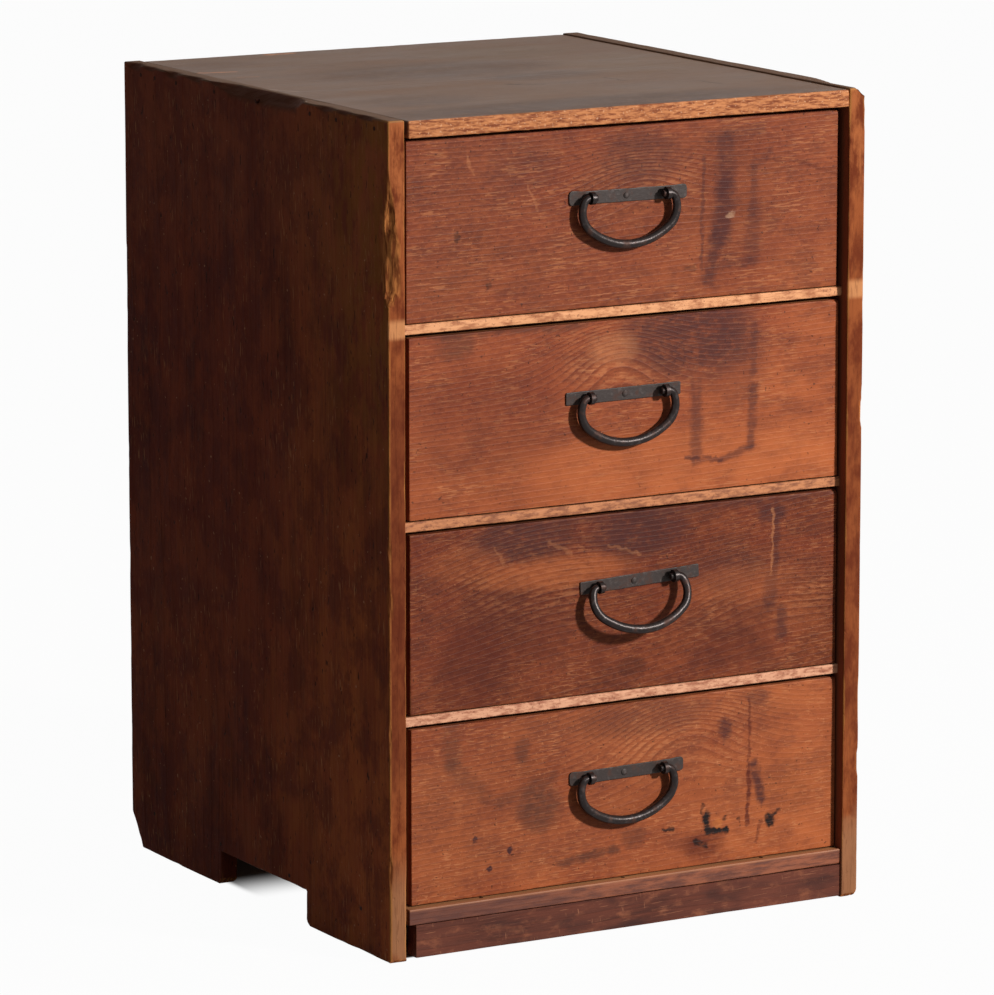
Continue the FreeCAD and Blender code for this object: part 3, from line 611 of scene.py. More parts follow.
# %% Places and noise
def place_on(finish):
    """Object coordinates in millimetres: the vector, and its three numbers."""
    texture = finish.node("ShaderNodeTexCoord").beside("Object")
    vector = finish.node("ShaderNodeVectorMath", {"operation": "SCALE"},
                         {0: texture, "Scale": 1 / MM})
    split = finish.node("ShaderNodeSeparateXYZ", inputs={0: vector})
    return vector, {axis.lower(): split.beside(axis) for axis in "XYZ"}


def cloud(vector, size, seed, detail=2.0, roughness=0.5):
    """Smooth noise, about 0 to 1 around a half. size is its grain in mm along x, y and z."""
    finish = vector.finish
    scaled = finish.node("ShaderNodeVectorMath", {"operation": "MULTIPLY_ADD"},
                         {0: vector, 1: tuple(1 / length for length in size),
                          2: (seed * 7.31, seed * 3.17, seed * 5.53)})
    return finish.node("ShaderNodeTexNoise", {"noise_dimensions": "3D"},
                       {"Vector": scaled, "Scale": 1.0, "Detail": detail,
                        "Roughness": roughness})


def stretched(grain, along, across):
    """Noise sizes that are long along the grain and short across it."""
    return tuple(along if axis == grain else across for axis in "xyz")


def attribute(finish, name):
    """A number that the board tool has left on every vertex."""
    return finish.node("ShaderNodeAttribute", {"attribute_name": name}).beside("Fac")


print("noise is sized in millimetres along each axis")

# %% [markdown]
# ## Colours that come back
#
# Dirt, bare wood and aged wood show on many boards, so each such colour is mixed once and used
# everywhere. Colours that belong to a single place are written where they're used.

# %% Colours
GRIME = paint(60, 32, 32)
SOOT = paint(22, 15, 15)
RUST_RED = paint(78, 32, 22)
GREY_SMUDGE = paint(72, 42, 33)
BARE = paint(182, 120, 80)
# GLOW is a warm light orange: the painted light on the drawer fronts, and lighter marks.
GLOW = paint(168, 92, 52)
AGED = paint(148, 102, 66)
AGED_LATE = paint(106, 66, 42)
print("eight named colours")

# %% [markdown]
# ## Rings, branches and the finish
#
# The distance from the pith, divided by the width of a ring, counts the rings outwards, and its
# fraction tells how far into a ring a place lies. A branch pushes the rings aside around it. The
# wood finish then mixes early and late wood by that, adds fibres, and lets each board's own
# dress function paint its stains and wear on top, and on some boards painted light and shade.


# %% Growth rings
@dataclass
class Pith:
    """The middle line of the tree, beside a board whose grain runs along one axis.

    deep is the axis that points away from the board's face, and aside is the third axis. The
    line passes through the given places of both, and it drifts aside along the grain.
    """

    grain: str
    deep: str
    deep_at: float
    aside_at: float
    drift: float = 0.0

    @property
    def aside(self):
        """The axis that's neither along the grain nor away from the face."""
        return (set("xyz") - {self.grain, self.deep}).pop()


def swelling(at, pith, along, aside, width, height):
    """1 where a branch is hidden under the face, fading to 0 around it."""
    far = ((at[pith.grain] - along) / width) ** 2 + ((at[pith.aside] - aside) / height) ** 2
    return far.math("EXPONENT", far * -1.0)


def rings(vector, at, pith, spacing, sway, seed, branches=()):
    """How much late wood there is at each place, and how near it is to a branch."""
    grain = pith.grain
    broad = (cloud(vector, stretched(grain, 210, 75), seed, 1.0) - 0.5) * (2 * sway)
    small = (cloud(vector, stretched(grain, 70, 12), seed + 3, 2.0) - 0.5) * 0.5
    aside = at[pith.aside] - pith.aside_at - at[grain] * pith.drift + broad
    figure = small * 0.0
    for along, height_of, width, height, lift in branches:
        near = swelling(at, pith, along, height_of, width, height)
        aside = aside - near * lift
        figure = figure + near
    behind = at[pith.deep] - pith.deep_at
    distance = (aside * aside + behind * behind) ** 0.5
    part = distance / spacing + small
    part = part.math("FRACT", part)
    return part ** 2.5 * (1 - ease(part, 0.88, 1.0)), figure.clamped()


print("rings follow the distance from the pith")


# %% A wood finish
def wood(name, pith, spacing, early, late, seed, sway=9.0, contrast=0.75, roughness=0.55,
         specular=0.3, relief=0.35, blotches=0.6, branches=(), dress=None):
    """A softwood finish. dress may paint stains, wear and painted light over the plain wood."""
    finish = Finish(bpy.data.materials.new(name))
    vector, at = place_on(finish)
    grain = pith.grain
    ring, figure = rings(vector, at, pith, spacing, sway, seed, branches)
    fibre = cloud(vector, stretched(grain, 22, 1.0), seed + 11, 4.0, 0.65)
    patches = cloud(vector, stretched(grain, 80, 26), seed + 17, 4.0, 0.6)
    strength = ease(cloud(vector, stretched(grain, 120, 30), seed + 23, 2.0), 0.3, 0.7)
    strength = (strength + figure).clamped()
    colour = mix(ring * (0.35 + strength * 0.65) * contrast, early, late)
    tone = (fibre - 0.5) * 0.9 + (patches - 0.5) * 1.2
    deeper = tuple(part * 0.62 for part in late[:3]) + (1,)
    colour = mix(ease(tone, 0.0, -0.42) * blotches, colour, deeper)
    paler = tuple(min(1.0, 1.5 * part) for part in early[:3]) + (1,)
    colour = mix(ease(tone, 0.05, 0.42) * 0.5, colour, paler)
    if branches:
        torn = ease(cloud(vector, stretched(grain, 7, 1.6), seed + 29, 3.0, 0.6), 0.4, 0.6)
        raised = ease(ring, 0.35, 0.05) * torn * ease(figure, 0.25, 0.7)
        colour = mix(raised * 0.42, colour, BARE)
    rough = roughness + (patches - 0.5) * 0.25
    height = ring * 0.6 + fibre * 0.6
    if dress is not None:
        colour, rough, height = dress(vector, at, colour, rough, height)
    return give_skin(finish, relief, 0.6, height, Base_Color=colour, Roughness=rough,
                     Specular_IOR_Level=specular)


print("wood() makes every wooden finish")

# %% [markdown]
# ## Stains, scratches and rubbed places
#
# Old marks are painted over the wood one by one, as a restorer would do it: a stroke is a mark
# along a straight line, such as a drip or the rim that a pasted label left, and an oval is a
# smudge. Their outlines are ragged, because the place that they're measured from is shaken a
# little by noise first. None of them is writing.


# %% Marks
@dataclass
class Stroke:
    """A mark along a straight line between two points of a face."""

    start: tuple
    end: tuple
    width: float
    colour: tuple
    strength: float

    def share(self, across, up):
        """1 on the line and 0 away from it."""
        run = (self.end[0] - self.start[0], self.end[1] - self.start[1])
        right, above = across - self.start[0], up - self.start[1]
        reach = (right * run[0] + above * run[1]) / (run[0] ** 2 + run[1] ** 2)
        reach = reach.clamped()
        right, above = right - reach * run[0], above - reach * run[1]
        gap = (right * right + above * above) ** 0.5
        return ease(gap, self.width * 0.8, self.width * 0.2)


@dataclass
class Oval:
    """A smudge with a soft rim."""

    middle: tuple
    size: tuple
    colour: tuple
    strength: float

    def share(self, across, up):
        """1 near the middle and 0 outside."""
        right = (across - self.middle[0]) / (self.size[0] / 2)
        above = (up - self.middle[1]) / (self.size[1] / 2)
        return ease(right * right + above * above, 1.5, 0.2)


def paint_marks(colour, marks, vector, across, up, grain, seed):
    """The colour with every mark painted over it. The grain shows through the marks."""
    shake = (6, 6, 6)
    across = across + (cloud(vector, shake, seed, 3.0, 0.6) - 0.5) * 7
    up = up + (cloud(vector, shake, seed + 1, 3.0, 0.6) - 0.5) * 7
    patchy = ease(cloud(vector, (7, 7, 5), seed + 2, 4.0, 0.65), 0.32, 0.56)
    streaky = ease(cloud(vector, stretched(grain, 16, 1.3), seed + 3, 2.0), 0.36, 0.6)
    solid = patchy * 0.4 + streaky * 0.22 + 0.4
    for mark in marks:
        share = (mark.share(across, up) * solid * mark.strength).clamped()
        colour = mix(share, colour, mark.colour)
    return colour


def scratches(vector, grain, axis, angle, length, width, rarity, seed):
    """Thin straight marks: 1 on a scratch, 0 beside it."""
    turned = vector.finish.node(
        "ShaderNodeVectorRotate", {"rotation_type": "AXIS_ANGLE"},
        {0: vector, "Axis": axis, "Angle": math.radians(angle)})
    lines = cloud(turned, stretched(grain, length, width), seed, 1.0)
    return ease(lines, rarity, rarity + 0.06)


def specks(vector, size, rarity, seed):
    """Small separate dots."""
    return ease(cloud(vector, (size, size, size), seed, 1.0), rarity, rarity + 0.05)


print("strokes, ovals, scratches and specks")

# %% [markdown]
# ## The drawer fronts
#
# Orange-brown wood with a hand-rubbed finish. The grain runs across, and each front was cut from
# another part of the log, so each has its own arches. Purple-brown grime has gathered near the
# upper edges, where hands reach for the handles. On the right there are the rims of old pasted
# labels, and the lowest front has water drips, soot and black flecks.

# %% Marks of the fronts
FRONT_MARKS = {
    1: [
        Oval((174, 96), (66, 38), GRIME, 0.55),
        Oval((86, 94), (60, 34), GRIME, 0.28),
        Stroke((222, 94), (221, 20), 2.6, GRIME, 0.62),
        Stroke((239, 102), (239, 72), 13, GRIME, 0.72),
        Stroke((239, 72), (236, 40), 15, GRIME, 0.88),
        Stroke((234, 42), (226, 12), 9, GRIME, 0.8),
        Stroke((230, 104), (266, 108), 8, GRIME, 0.36),
        Stroke((273, 93), (262, 84), 6, GRIME, 0.42),
        Stroke((262, 84), (260, 54), 6, GRIME, 0.5),
        Stroke((261, 54), (260, 24), 11, GRIME, 0.5),
        Stroke((236, 20), (258, 21), 6, GRIME, 0.55),
        Oval((243, 53), (9, 4), paint(190, 150, 120), 0.6),
        Oval((213, 20), (9, 5), SOOT, 0.5),
        Stroke((270, 89), (300, 84), 2.4, RUST_RED, 0.5),
        Stroke((300, 84), (326, 75), 2.4, RUST_RED, 0.5),
        Stroke((44, 104), (49, 92), 1.6, BARE, 0.32),
        Stroke((90, 83), (97, 67), 1.8, BARE, 0.25),
        Oval((243, 62), (66, 110), RUST_RED, 0.25),
        Oval((37, 53), (4, 8), SOOT, 0.7),
        Oval((60, 20), (5, 4), SOOT, 0.7),
    ],
    2: [
        Oval((210, 104), (110, 58), GRIME, 0.85),
        Oval((246, 84), (50, 60), GRIME, 0.4),
        Oval((34, 111), (30, 20), GREY_SMUDGE, 0.6),
        Stroke((15, 120), (131, 118), 6, GREY_SMUDGE, 0.6),
        Oval((190, 22), (280, 50), GLOW, 0.5),
        Oval((60, 60), (120, 80), RUST_RED, 0.3),
        Stroke((216, 72), (216, 22), 9, GRIME, 0.62),
        Stroke((208, 23), (236, 19), 3, GRIME, 0.7),
        Stroke((236, 19), (258, 26), 5, GRIME, 0.62),
        Stroke((260, 110), (260, 76), 5, GRIME, 0.5),
        Stroke((260, 66), (258, 26), 7, GRIME, 0.66),
        Oval((152, 100), (40, 22), BARE, 0.32),
    ],
    3: [
        Oval((84, 107), (86, 26), GRIME, 0.8),
        Oval((172, 104), (80, 34), GRIME, 0.85),
        Stroke((60, 118), (320, 118), 8, GRIME, 0.5),
        Oval((240, 72), (66, 26), GRIME, 0.5),
        Oval((44, 24), (60, 60), RUST_RED, 0.6),
        Oval((246, 22), (64, 44), RUST_RED, 0.65),
        Oval((72, 52), (90, 60), RUST_RED, 0.65),
        Oval((276, 108), (24, 14), GRIME, 0.8),
        Stroke((279, 108), (278, 66), 5, GRIME, 0.6),
        Stroke((276, 110), (275, 66), 1.6, BARE, 0.5),
        Stroke((275, 62), (274, 48), 10, GRIME, 0.8),
        Stroke((283, 40), (283, 24), 9, GRIME, 0.7),
        Oval((167, 15), (24, 13), SOOT, 0.42),
        Oval((110, 84), (120, 22), GLOW, 0.6),
        Oval((40, 96), (60, 24), GLOW, 0.3),
        Oval((250, 62), (90, 26), GLOW, 0.3),
        Stroke((62, 104), (72, 92), 1.8, BARE, 0.25),
        Stroke((104, 104), (120, 96), 2.2, BARE, 0.28),
        Stroke((150, 98), (172, 90), 2.2, BARE, 0.28),
    ],
    4: [
        Stroke((30, 116), (30, 92), 13, GREY_SMUDGE, 0.5),
        Stroke((30, 90), (56, 66), 11, GREY_SMUDGE, 0.4),
        Oval((96, 54), (34, 34), GREY_SMUDGE, 0.8),
        Stroke((66, 62), (106, 74), 9, GREY_SMUDGE, 0.5),
        Oval((83, 94), (12, 20), GREY_SMUDGE, 0.6),
        Oval((176, 106), (110, 26), GREY_SMUDGE, 0.35),
        Oval((239, 92), (13, 17), GRIME, 0.8),
        Stroke((258, 108), (258, 60), 2.0, RUST_RED, 0.85),
        Stroke((258, 60), (257, 24), 3.0, RUST_RED, 0.9),
        Stroke((262, 64), (268, 40), 7, GRIME, 0.85),
        Oval((265, 110), (20, 12), GRIME, 0.55),
        Oval((222, 14), (36, 18), RUST_RED, 0.8),
        Stroke((191, 28), (199, 27), 2.8, SOOT, 0.9),
        Stroke((222, 42), (221, 36), 2.2, SOOT, 0.8),
        Stroke((225, 34), (226, 22), 5.4, SOOT, 1.2),
        Stroke((226, 23), (240, 21), 4.2, SOOT, 1.2),
        Stroke((216, 17), (224, 13), 3.5, SOOT, 0.9),
        Stroke((238, 30), (240, 32), 2.4, SOOT, 0.8),
        Stroke((273, 26), (276, 22), 5.5, SOOT, 1.2),
        Stroke((276, 27), (282, 31), 2.6, SOOT, 0.9),
        Oval((250, 28), (4, 4), SOOT, 0.8),
        Oval((234, 27), (8, 6), paint(178, 108, 52), 0.4),
        Stroke((263, 10), (268, 24), 2.4, RUST_RED, 0.6),
        Oval((48, 38), (4, 4), GRIME, 1.2),
        Oval((74, 28), (4.5, 4.5), GRIME, 1.4),
        Oval((58, 18), (4, 4), GRIME, 1.2),
        Stroke((112, 15), (155, 19), 6, GREY_SMUDGE, 0.8),
        Oval((168, 26), (20, 18), GREY_SMUDGE, 0.45),
    ],
}
BRANCHES = {
    1: [(12, 500, 46, 22, 18)],
    2: [(-4, 386, 48, 30, 28)],
    3: [(-70, 250, 70, 50, 14), (110, 215, 60, 30, 12)],
    4: [(48, 130, 60, 38, 32)],
}
DRIFTS = {1: 0.03, 2: 0.04, 3: 0.13, 4: 0.04}
print("marks on the fronts:", {number: len(marks) for number, marks in FRONT_MARKS.items()})

# %% [markdown]
# ## One finish for each front
#
# The fronts share their stain, scratches and veil of dirt, and differ in tone and in their
# marks. A table gives each drawer its two tones, how much dirt veils it, and how much painted
# light brightens it towards its right end and its bottom.

# %% Finishes of the fronts
FRONT_TONES = {
    1: (paint(115, 58, 37), paint(71, 32, 22)),
    2: (paint(128, 64, 39), paint(78, 35, 24)),
    3: (paint(92, 40, 24), paint(57, 24, 17)),
    4: (paint(132, 71, 43), paint(82, 40, 26)),
}
FRONT_VEIL = {1: 0.13, 2: 0.06, 3: 0.26, 4: 0.0}
VEIL = paint(50, 19, 11)
FRONT_PAINTED_LIGHT = {1: 0.35, 2: 0.9, 3: 0.3, 4: 0.85}


def front_wood(number):
    """Finish of one drawer front, with its own rings, tone and marks."""
    node = f"drawer_{number}_front"
    left, right = span(node, "x")
    low, high = span(node, "z")

    def dress(vector, at, colour, rough, height):
        reddish = ease(cloud(vector, (70, 70, 36), 90 + number, 4.0, 0.6), 0.36, 0.66)
        colour = mix(reddish * 0.5, colour, paint(106, 46, 30))
        # Painted light: each front turns lighter orange towards its right end and its bottom.
        paler_share = ease(at["x"], left + 110, right) * 0.5 + ease(at["z"], high - 30, low) * 0.45
        paler_share = paler_share * ease(cloud(vector, (60, 60, 30), 100 + number, 3.0), 0.25, 0.7)
        colour = mix(paler_share * FRONT_PAINTED_LIGHT[number], colour, GLOW)
        cloudy = ease(cloud(vector, (26, 26, 13), 103 + number, 5.0, 0.65), 0.44, 0.64)
        colour = mix(cloudy * 0.4, colour, paint(88, 44, 34))
        fuzzy = ease(cloud(vector, (5, 5, 2), 104 + number, 4.0, 0.7), 0.42, 0.62)
        colour = mix(fuzzy * 0.22, colour, GLOW)
        rough_spot = ease(cloud(vector, (34, 34, 22), 105 + number, 3.0), 0.4, 0.62)
        dashes = scratches(vector, "x", (0, 1, 0), 0, 9, 0.9, 0.58, 110 + number) * rough_spot
        steep = scratches(vector, "x", (0, 1, 0), 64, 12, 0.5, 0.73, 120 + number)
        fine = specks(vector, 1.5, 0.68, 130 + number)
        light = (dashes * 0.36 + steep * 0.2 + fine * 0.3).clamped()
        colour = mix(light, colour, BARE)
        colour = mix(specks(vector, 2.2, 0.71, 140 + number) * 0.6, colour, SOOT)
        colour = paint_marks(colour, FRONT_MARKS[number], vector,
                             at["x"] - left, at["z"] - low, "x", 150 + 10 * number)
        worn = attribute(vector.finish, "worn")
        bare = ease(cloud(vector, (18, 6, 6), 160 + number, 3.0), 0.4, 0.65)
        colour = mix(worn * bare * 0.6, colour, BARE)
        colour = mix((cloudy * 0.6 + 0.75) * FRONT_VEIL[number], colour, VEIL)
        inside = ease(at["y"], DRAWER_FACE + 3.0, DRAWER_FACE + 6.0)
        colour = mix(inside, colour, AGED)
        return colour, rough + light * 0.2, height - steep * 0.3

    pith = Pith("x", "y", FRONT + 120, low - 150, DRIFTS[number])
    early, late = FRONT_TONES[number]
    return wood(f"front_wood_{number}", pith, 3.3, early, late, 20 + 7 * number, sway=6.0,
                contrast=0.8, roughness=0.5, specular=0.1, relief=0.42,
                branches=BRANCHES[number], dress=dress)


fronts = {number: front_wood(number) for number in DRAWERS}
print("four fronts, each with its own finish")

# %% [markdown]
# ## The carcass
#
# The side boards were stained dark and handled for many years: nearly black at the upper back,
# warmer near the front, and lighter near the floor, which is painted bounce light. Their front
# edges have been rubbed down to orange wood, redder in the middle and pale at the feet. The top
# is dry and greyish, the grey partly dust and partly painted sheen, and the thin front edges of
# the shelves, where drawers scrape every day, are nearly bare.

# %% Finishes of the carcass
SIDE_EARLY = paint(108, 52, 40)
SIDE_LATE = paint(60, 27, 21)
INNER_FACE, HALF_WIDTH = span("side_panel_right", "x")


def dress_side(vector, at, colour, rough, height):
    """Dark stain, worn to raw wood on the front edge and at the arrises.

    The side also carries painted bounce light near the floor, painted shade on its inner face near
    the front and a painted highlight along the left board's front arris.
    """
    finish = vector.finish
    # Lighter orange towards the front and towards the floor; near the floor this is painted bounce
    # light from the floor.
    forward = ease(at["y"], FRONT + 230, FRONT + 5)
    low = ease(at["z"], 360, 30)
    broad = ease(cloud(vector, (50, 50, 120), 40, 4.0, 0.6), 0.34, 0.62)
    colour = mix((forward * 0.85 + low * 0.45) * (broad * 0.6 + 0.4), colour, paint(156, 84, 48))
    dim = ease(cloud(vector, (46, 46, 130), 41, 4.0, 0.6), 0.46, 0.66)
    colour = mix(dim * (1 - forward * 0.6) * 0.75, colour, paint(66, 30, 26))
    streaks = ease(cloud(vector, (3.2, 3.2, 60), 39, 4.0, 0.6), 0.46, 0.66)
    colour = mix(streaks * (forward * 0.35 + 0.12), colour, paint(170, 96, 54))
    mottle = ease(cloud(vector, (14, 14, 20), 37, 5.0, 0.7), 0.42, 0.6)
    colour = mix(mottle * 0.42, colour, paint(134, 64, 44))
    plum = ease(cloud(vector, (34, 34, 44), 36, 5.0, 0.7), 0.44, 0.6)
    colour = mix(plum * 0.5, colour, paint(72, 30, 30))
    raised = ease(at["z"], 380, 520) * (1 - plum * 0.5)
    colour = mix(raised * 0.3, colour, paint(146, 82, 58))
    olive = ease(at["y"], FRONT + 140, FRONT + 5) * ease(at["z"], 200, 470)
    olive = olive * ease(cloud(vector, (12, 12, 30), 42, 4.0, 0.6), 0.4, 0.6)
    colour = mix(olive * 0.75, colour, paint(136, 84, 42))
    busy = ease(cloud(vector, (50, 50, 70), 38, 2.0), 0.42, 0.66)
    nicks = scratches(vector, "z", (1, 0, 0), 4, 12, 1.3, 0.66, 44) * busy
    colour = mix(nicks * 0.6, colour, paint(184, 128, 88))
    colour = mix(specks(vector, 3.4, 0.73, 45) * 0.7, colour, paint(180, 130, 100))
    dents = scratches(vector, "z", (1, 0, 0), 0, 7, 2.2, 0.69, 46)
    colour = mix(dents * 0.8, colour, paint(40, 22, 18))

    # Aged wood on the inner face, darker and redder within a few centimetres of the front: painted
    # shade of the drawer recess.
    inner = ease(at["x"].math("ABSOLUTE", at["x"]), INNER_FACE + 1.0, INNER_FACE + 0.3)
    aged_and_shaded = mix(ease(at["y"], FRONT + 45, FRONT + 20), AGED, paint(118, 66, 46))
    colour = mix(inner, colour, aged_and_shaded)

    on_front = ease(at["y"], FRONT + 1.9, FRONT + 0.9)
    mottled = ease(cloud(vector, (14, 14, 30), 47, 5.0, 0.65), 0.36, 0.62)
    edge = mix(mottled, paint(95, 44, 26), paint(132, 72, 41))
    ruddy = ease(at["z"], 395, 355) * ease(at["z"], 95, 140)
    ruddy = ruddy * (ease(at["x"], HALF_WIDTH, -HALF_WIDTH) * 0.6 + 0.4)
    edge = mix(ruddy * (0.9 - mottled * 0.3), edge, paint(84, 38, 24))
    bright = ease(at["z"], 408, 412) * ease(at["z"], 424, 419)
    edge = mix(bright * 0.8, edge, paint(182, 126, 84))
    pale = ease(at["z"], 80, 36) * ease(cloud(vector, (20, 20, 20), 48), 0.3, 0.5)
    edge = mix(pale * 0.8, edge, paint(140, 98, 70))
    # Pale gold along the outer arris of the left board's front edge: partly bare worn wood, partly
    # a painted highlight of the rounded arris.
    arris_wear_and_highlight = ease(at["x"], -HALF_WIDTH + 2.2, -HALF_WIDTH + 0.8) * ease(mottled, 1.2, 0.2)
    edge = mix(arris_wear_and_highlight * 0.5, edge, paint(176, 112, 60))
    upper = ease(at["z"], 470, 500) * mottled
    edge = mix(upper * 0.5, edge, paint(160, 96, 58))
    streak = scratches(vector, "z", (0, 0, 1), 0, 14, 1.0, 0.6, 49)
    edge = mix(streak * 0.3, edge, paint(80, 40, 26))
    colour = mix(on_front, colour, edge)

    # The upper end is grey-brown like the top: partly dust, partly painted sheen.
    on_top = ease(at["z"], HEIGHT - 1.6, HEIGHT - 0.7)
    colour = mix(on_top, colour, paint(112, 86, 70))
    # Worn arrises show bare wood; near the front its gold is partly a painted highlight.
    bare = attribute(finish, "worn") * ease(cloud(vector, (12, 12, 26), 43, 3.0), 0.34, 0.58)
    rim = mix(ease(at["y"], FRONT + 20, FRONT + 3), paint(104, 66, 42), paint(172, 116, 62))
    colour = mix(bare * 0.75, colour, rim)
    splinter = cloud(vector, (1.6, 1.6, 14), 50, 3.0)
    scar = mix(ease(splinter, 0.36, 0.62), paint(118, 64, 36), paint(186, 118, 66))
    scar = mix(ease(at["z"], HEIGHT - 24, HEIGHT - 12), scar, paint(86, 50, 36))
    colour = mix(attribute(finish, "broken"), colour, scar)
    return colour, rough, height - dents * 0.8


TOP_MARKS = [
    Stroke((-161, FRONT + 296), (-139, FRONT + 291), 4.4, BARE, 1.0),
    Stroke((-150, FRONT + 262), (-138, FRONT + 258), 2.4, BARE, 0.4),
    Stroke((-72, FRONT + 368), (-54, FRONT + 368), 6.0, BARE, 1.0),
    Stroke((-176, FRONT + 212), (-152, FRONT + 172), 3.2, paint(150, 126, 108), 0.6),
    Stroke((-14, FRONT + 139), (8, FRONT + 128), 2.6, SOOT, 0.85),
    Stroke((62, FRONT + 138), (66, FRONT + 118), 2.0, SOOT, 0.6),
    Stroke((108, FRONT + 92), (112, FRONT + 70), 2.2, SOOT, 0.6),
    Oval((-20, FRONT + 230), (190, 90), paint(74, 52, 40), 0.6),
    Oval((70, FRONT + 300), (120, 80), paint(104, 80, 58), 0.5),
    Oval((-110, FRONT + 90), (90, 60), paint(78, 56, 44), 0.5),
    Oval((-20, FRONT + 22), (340, 70), paint(70, 50, 40), 0.75),
    Oval((120, FRONT + 200), (110, 120), paint(116, 92, 72), 0.45),
    Oval((-140, FRONT + 330), (80, 50), paint(92, 62, 42), 0.6),
    Oval((30, FRONT + 170), (90, 40), paint(66, 46, 36), 0.45),
]


def dress_top(vector, at, colour, rough, height):
    """Grey-brown top, partly dust and partly painted sheen; lighter orange on the front edge."""
    # The grey is partly dust and partly painted sheen, the pale reflection of a grazing view.
    dust_and_sheen = ease(cloud(vector, (70, 22, 22), 52, 4.0, 0.6), 0.3, 0.7)
    colour = mix(dust_and_sheen * 0.5, colour, paint(116, 92, 76))
    colour = paint_marks(colour, TOP_MARKS, vector, at["x"], at["y"], "x", 54)
    nicks = scratches(vector, "x", (0, 0, 1), 3, 18, 0.9, 0.66, 56)
    colour = mix(nicks * 0.5, colour, paint(140, 110, 86))
    dark = scratches(vector, "x", (0, 0, 1), -2, 24, 1.2, 0.68, 58)
    colour = mix(dark * 0.6, colour, paint(44, 30, 24))
    on_front = ease(at["y"], FRONT + 3.2, FRONT + 1.4)
    dashes = ease(cloud(vector, (10, 1.8, 1.8), 51, 5.0, 0.7), 0.36, 0.6)
    edge = mix(dashes, paint(108, 56, 36), paint(174, 114, 74))
    crumbs = specks(vector, 1.5, 0.64, 57)
    edge = mix(crumbs * 0.5, edge, paint(206, 164, 130))
    colour = mix(on_front, colour, edge)
    under = ease(at["z"], HEIGHT - 9, HEIGHT - 11)
    return mix(under * (1 - on_front), colour, AGED), rough, height


def shelf_dress(number, edge_dark, edge_light):
    """Bare scraped wood on a shelf's front edge, aged wood behind it."""
    front = span(f"shelf_{number}", "y")[0]

    def dress(vector, at, colour, rough, height):
        on_front = ease(at["y"], front + 2.6, front + 1.2)
        mottled = ease(cloud(vector, (9, 3, 3), 60 + number, 4.0, 0.65), 0.34, 0.6)
        edge = mix(mottled, edge_dark, edge_light)
        edge = mix(specks(vector, 1.5, 0.66, 64 + number) * 0.6, edge, paint(96, 52, 34))
        return mix(on_front, colour, edge), rough + on_front * 0.15, height
    return dress


BOTTOM_UPPER = span("bottom_board", "z")[1]


def dress_bottom(vector, at, colour, rough, height):
    """A grimy orange-brown front edge."""
    on_front = ease(at["y"], FRONT + 6, FRONT + 3.4)
    mottled = ease(cloud(vector, (22, 4, 4), 68, 4.0, 0.65), 0.36, 0.64)
    edge = mix(mottled, paint(82, 42, 30), paint(128, 72, 48))
    edge = mix(ease(at["x"], 20, -120) * 0.7, edge, paint(72, 35, 26))
    rim = ease(at["z"], BOTTOM_UPPER - 1.8, BOTTOM_UPPER - 0.6)
    edge = mix(rim * 0.6, edge, paint(158, 104, 72))
    return mix(on_front, colour, edge), rough, height


def dress_plinth(vector, at, colour, rough, height):
    """Dark grime over the wood, scuffed by feet and brooms."""
    bare = ease(cloud(vector, (16, 10, 9), 70, 5.0, 0.65), 0.5, 0.72)
    colour = mix(bare * 0.6, colour, paint(136, 82, 58))
    upright = scratches(vector, "z", (0, 1, 0), 8, 9, 0.9, 0.73, 72)
    flat = scratches(vector, "x", (0, 1, 0), 3, 16, 0.7, 0.67, 73)
    colour = mix((upright * 0.45 + flat * 0.4).clamped(), colour, paint(160, 108, 80))
    edge = attribute(vector.finish, "worn") * 0.5
    colour = mix(edge, colour, paint(140, 90, 62))
    black = ease(cloud(vector, (36, 20, 12), 74, 3.0), 0.45, 0.7)
    return mix(black * 0.6, colour, paint(40, 24, 24)), rough, height


sides = wood("side_wood", Pith("z", "x", 300, 260, 0.02), 4.2, SIDE_EARLY, SIDE_LATE, 3,
             sway=14, contrast=0.22, roughness=0.6, specular=0.01, relief=0.5, blotches=0.5,
             dress=dress_side)
# The top's grey-brown tones are partly its own wood and partly painted sheen.
top = wood("top_wood", Pith("x", "z", 480, 20, 0.03), 3.6, paint(112, 82, 62),
           paint(74, 53, 41), 5, contrast=0.5, roughness=0.5, specular=0.05, relief=0.4,
           dress=dress_top)
SHELF_EDGES = {
    1: (paint(150, 92, 58), paint(200, 142, 100)),
    2: (paint(120, 70, 45), paint(172, 112, 74)),
    3: (paint(146, 90, 66), paint(196, 144, 114)),
}
shelves = {
    number: wood(f"shelf_wood_{number}", Pith("x", "z", 900, -60, 0.02), 3.4, AGED, AGED_LATE,
                 7 + number, dress=shelf_dress(number, *SHELF_EDGES[number]))
    for number in SHELVES}
bottom = wood("bottom_wood", Pith("x", "z", 700, -40, 0.02), 3.4, AGED, AGED_LATE, 12,
              dress=dress_bottom)
plinth = wood("plinth_wood", Pith("x", "y", FRONT + 90, 60, 0.02), 3.2, paint(89, 48, 37),
              paint(58, 32, 27), 9, specular=0.12, dress=dress_plinth)
print("finishes of the carcass")

# %% [markdown]
# ## Wood that nobody looks at
#
# The back, the drawer boxes and the underside were never stained. They have only darkened with
# age, a little unevenly, and show broad arches because such wide thin boards are cut straight
# through the log.


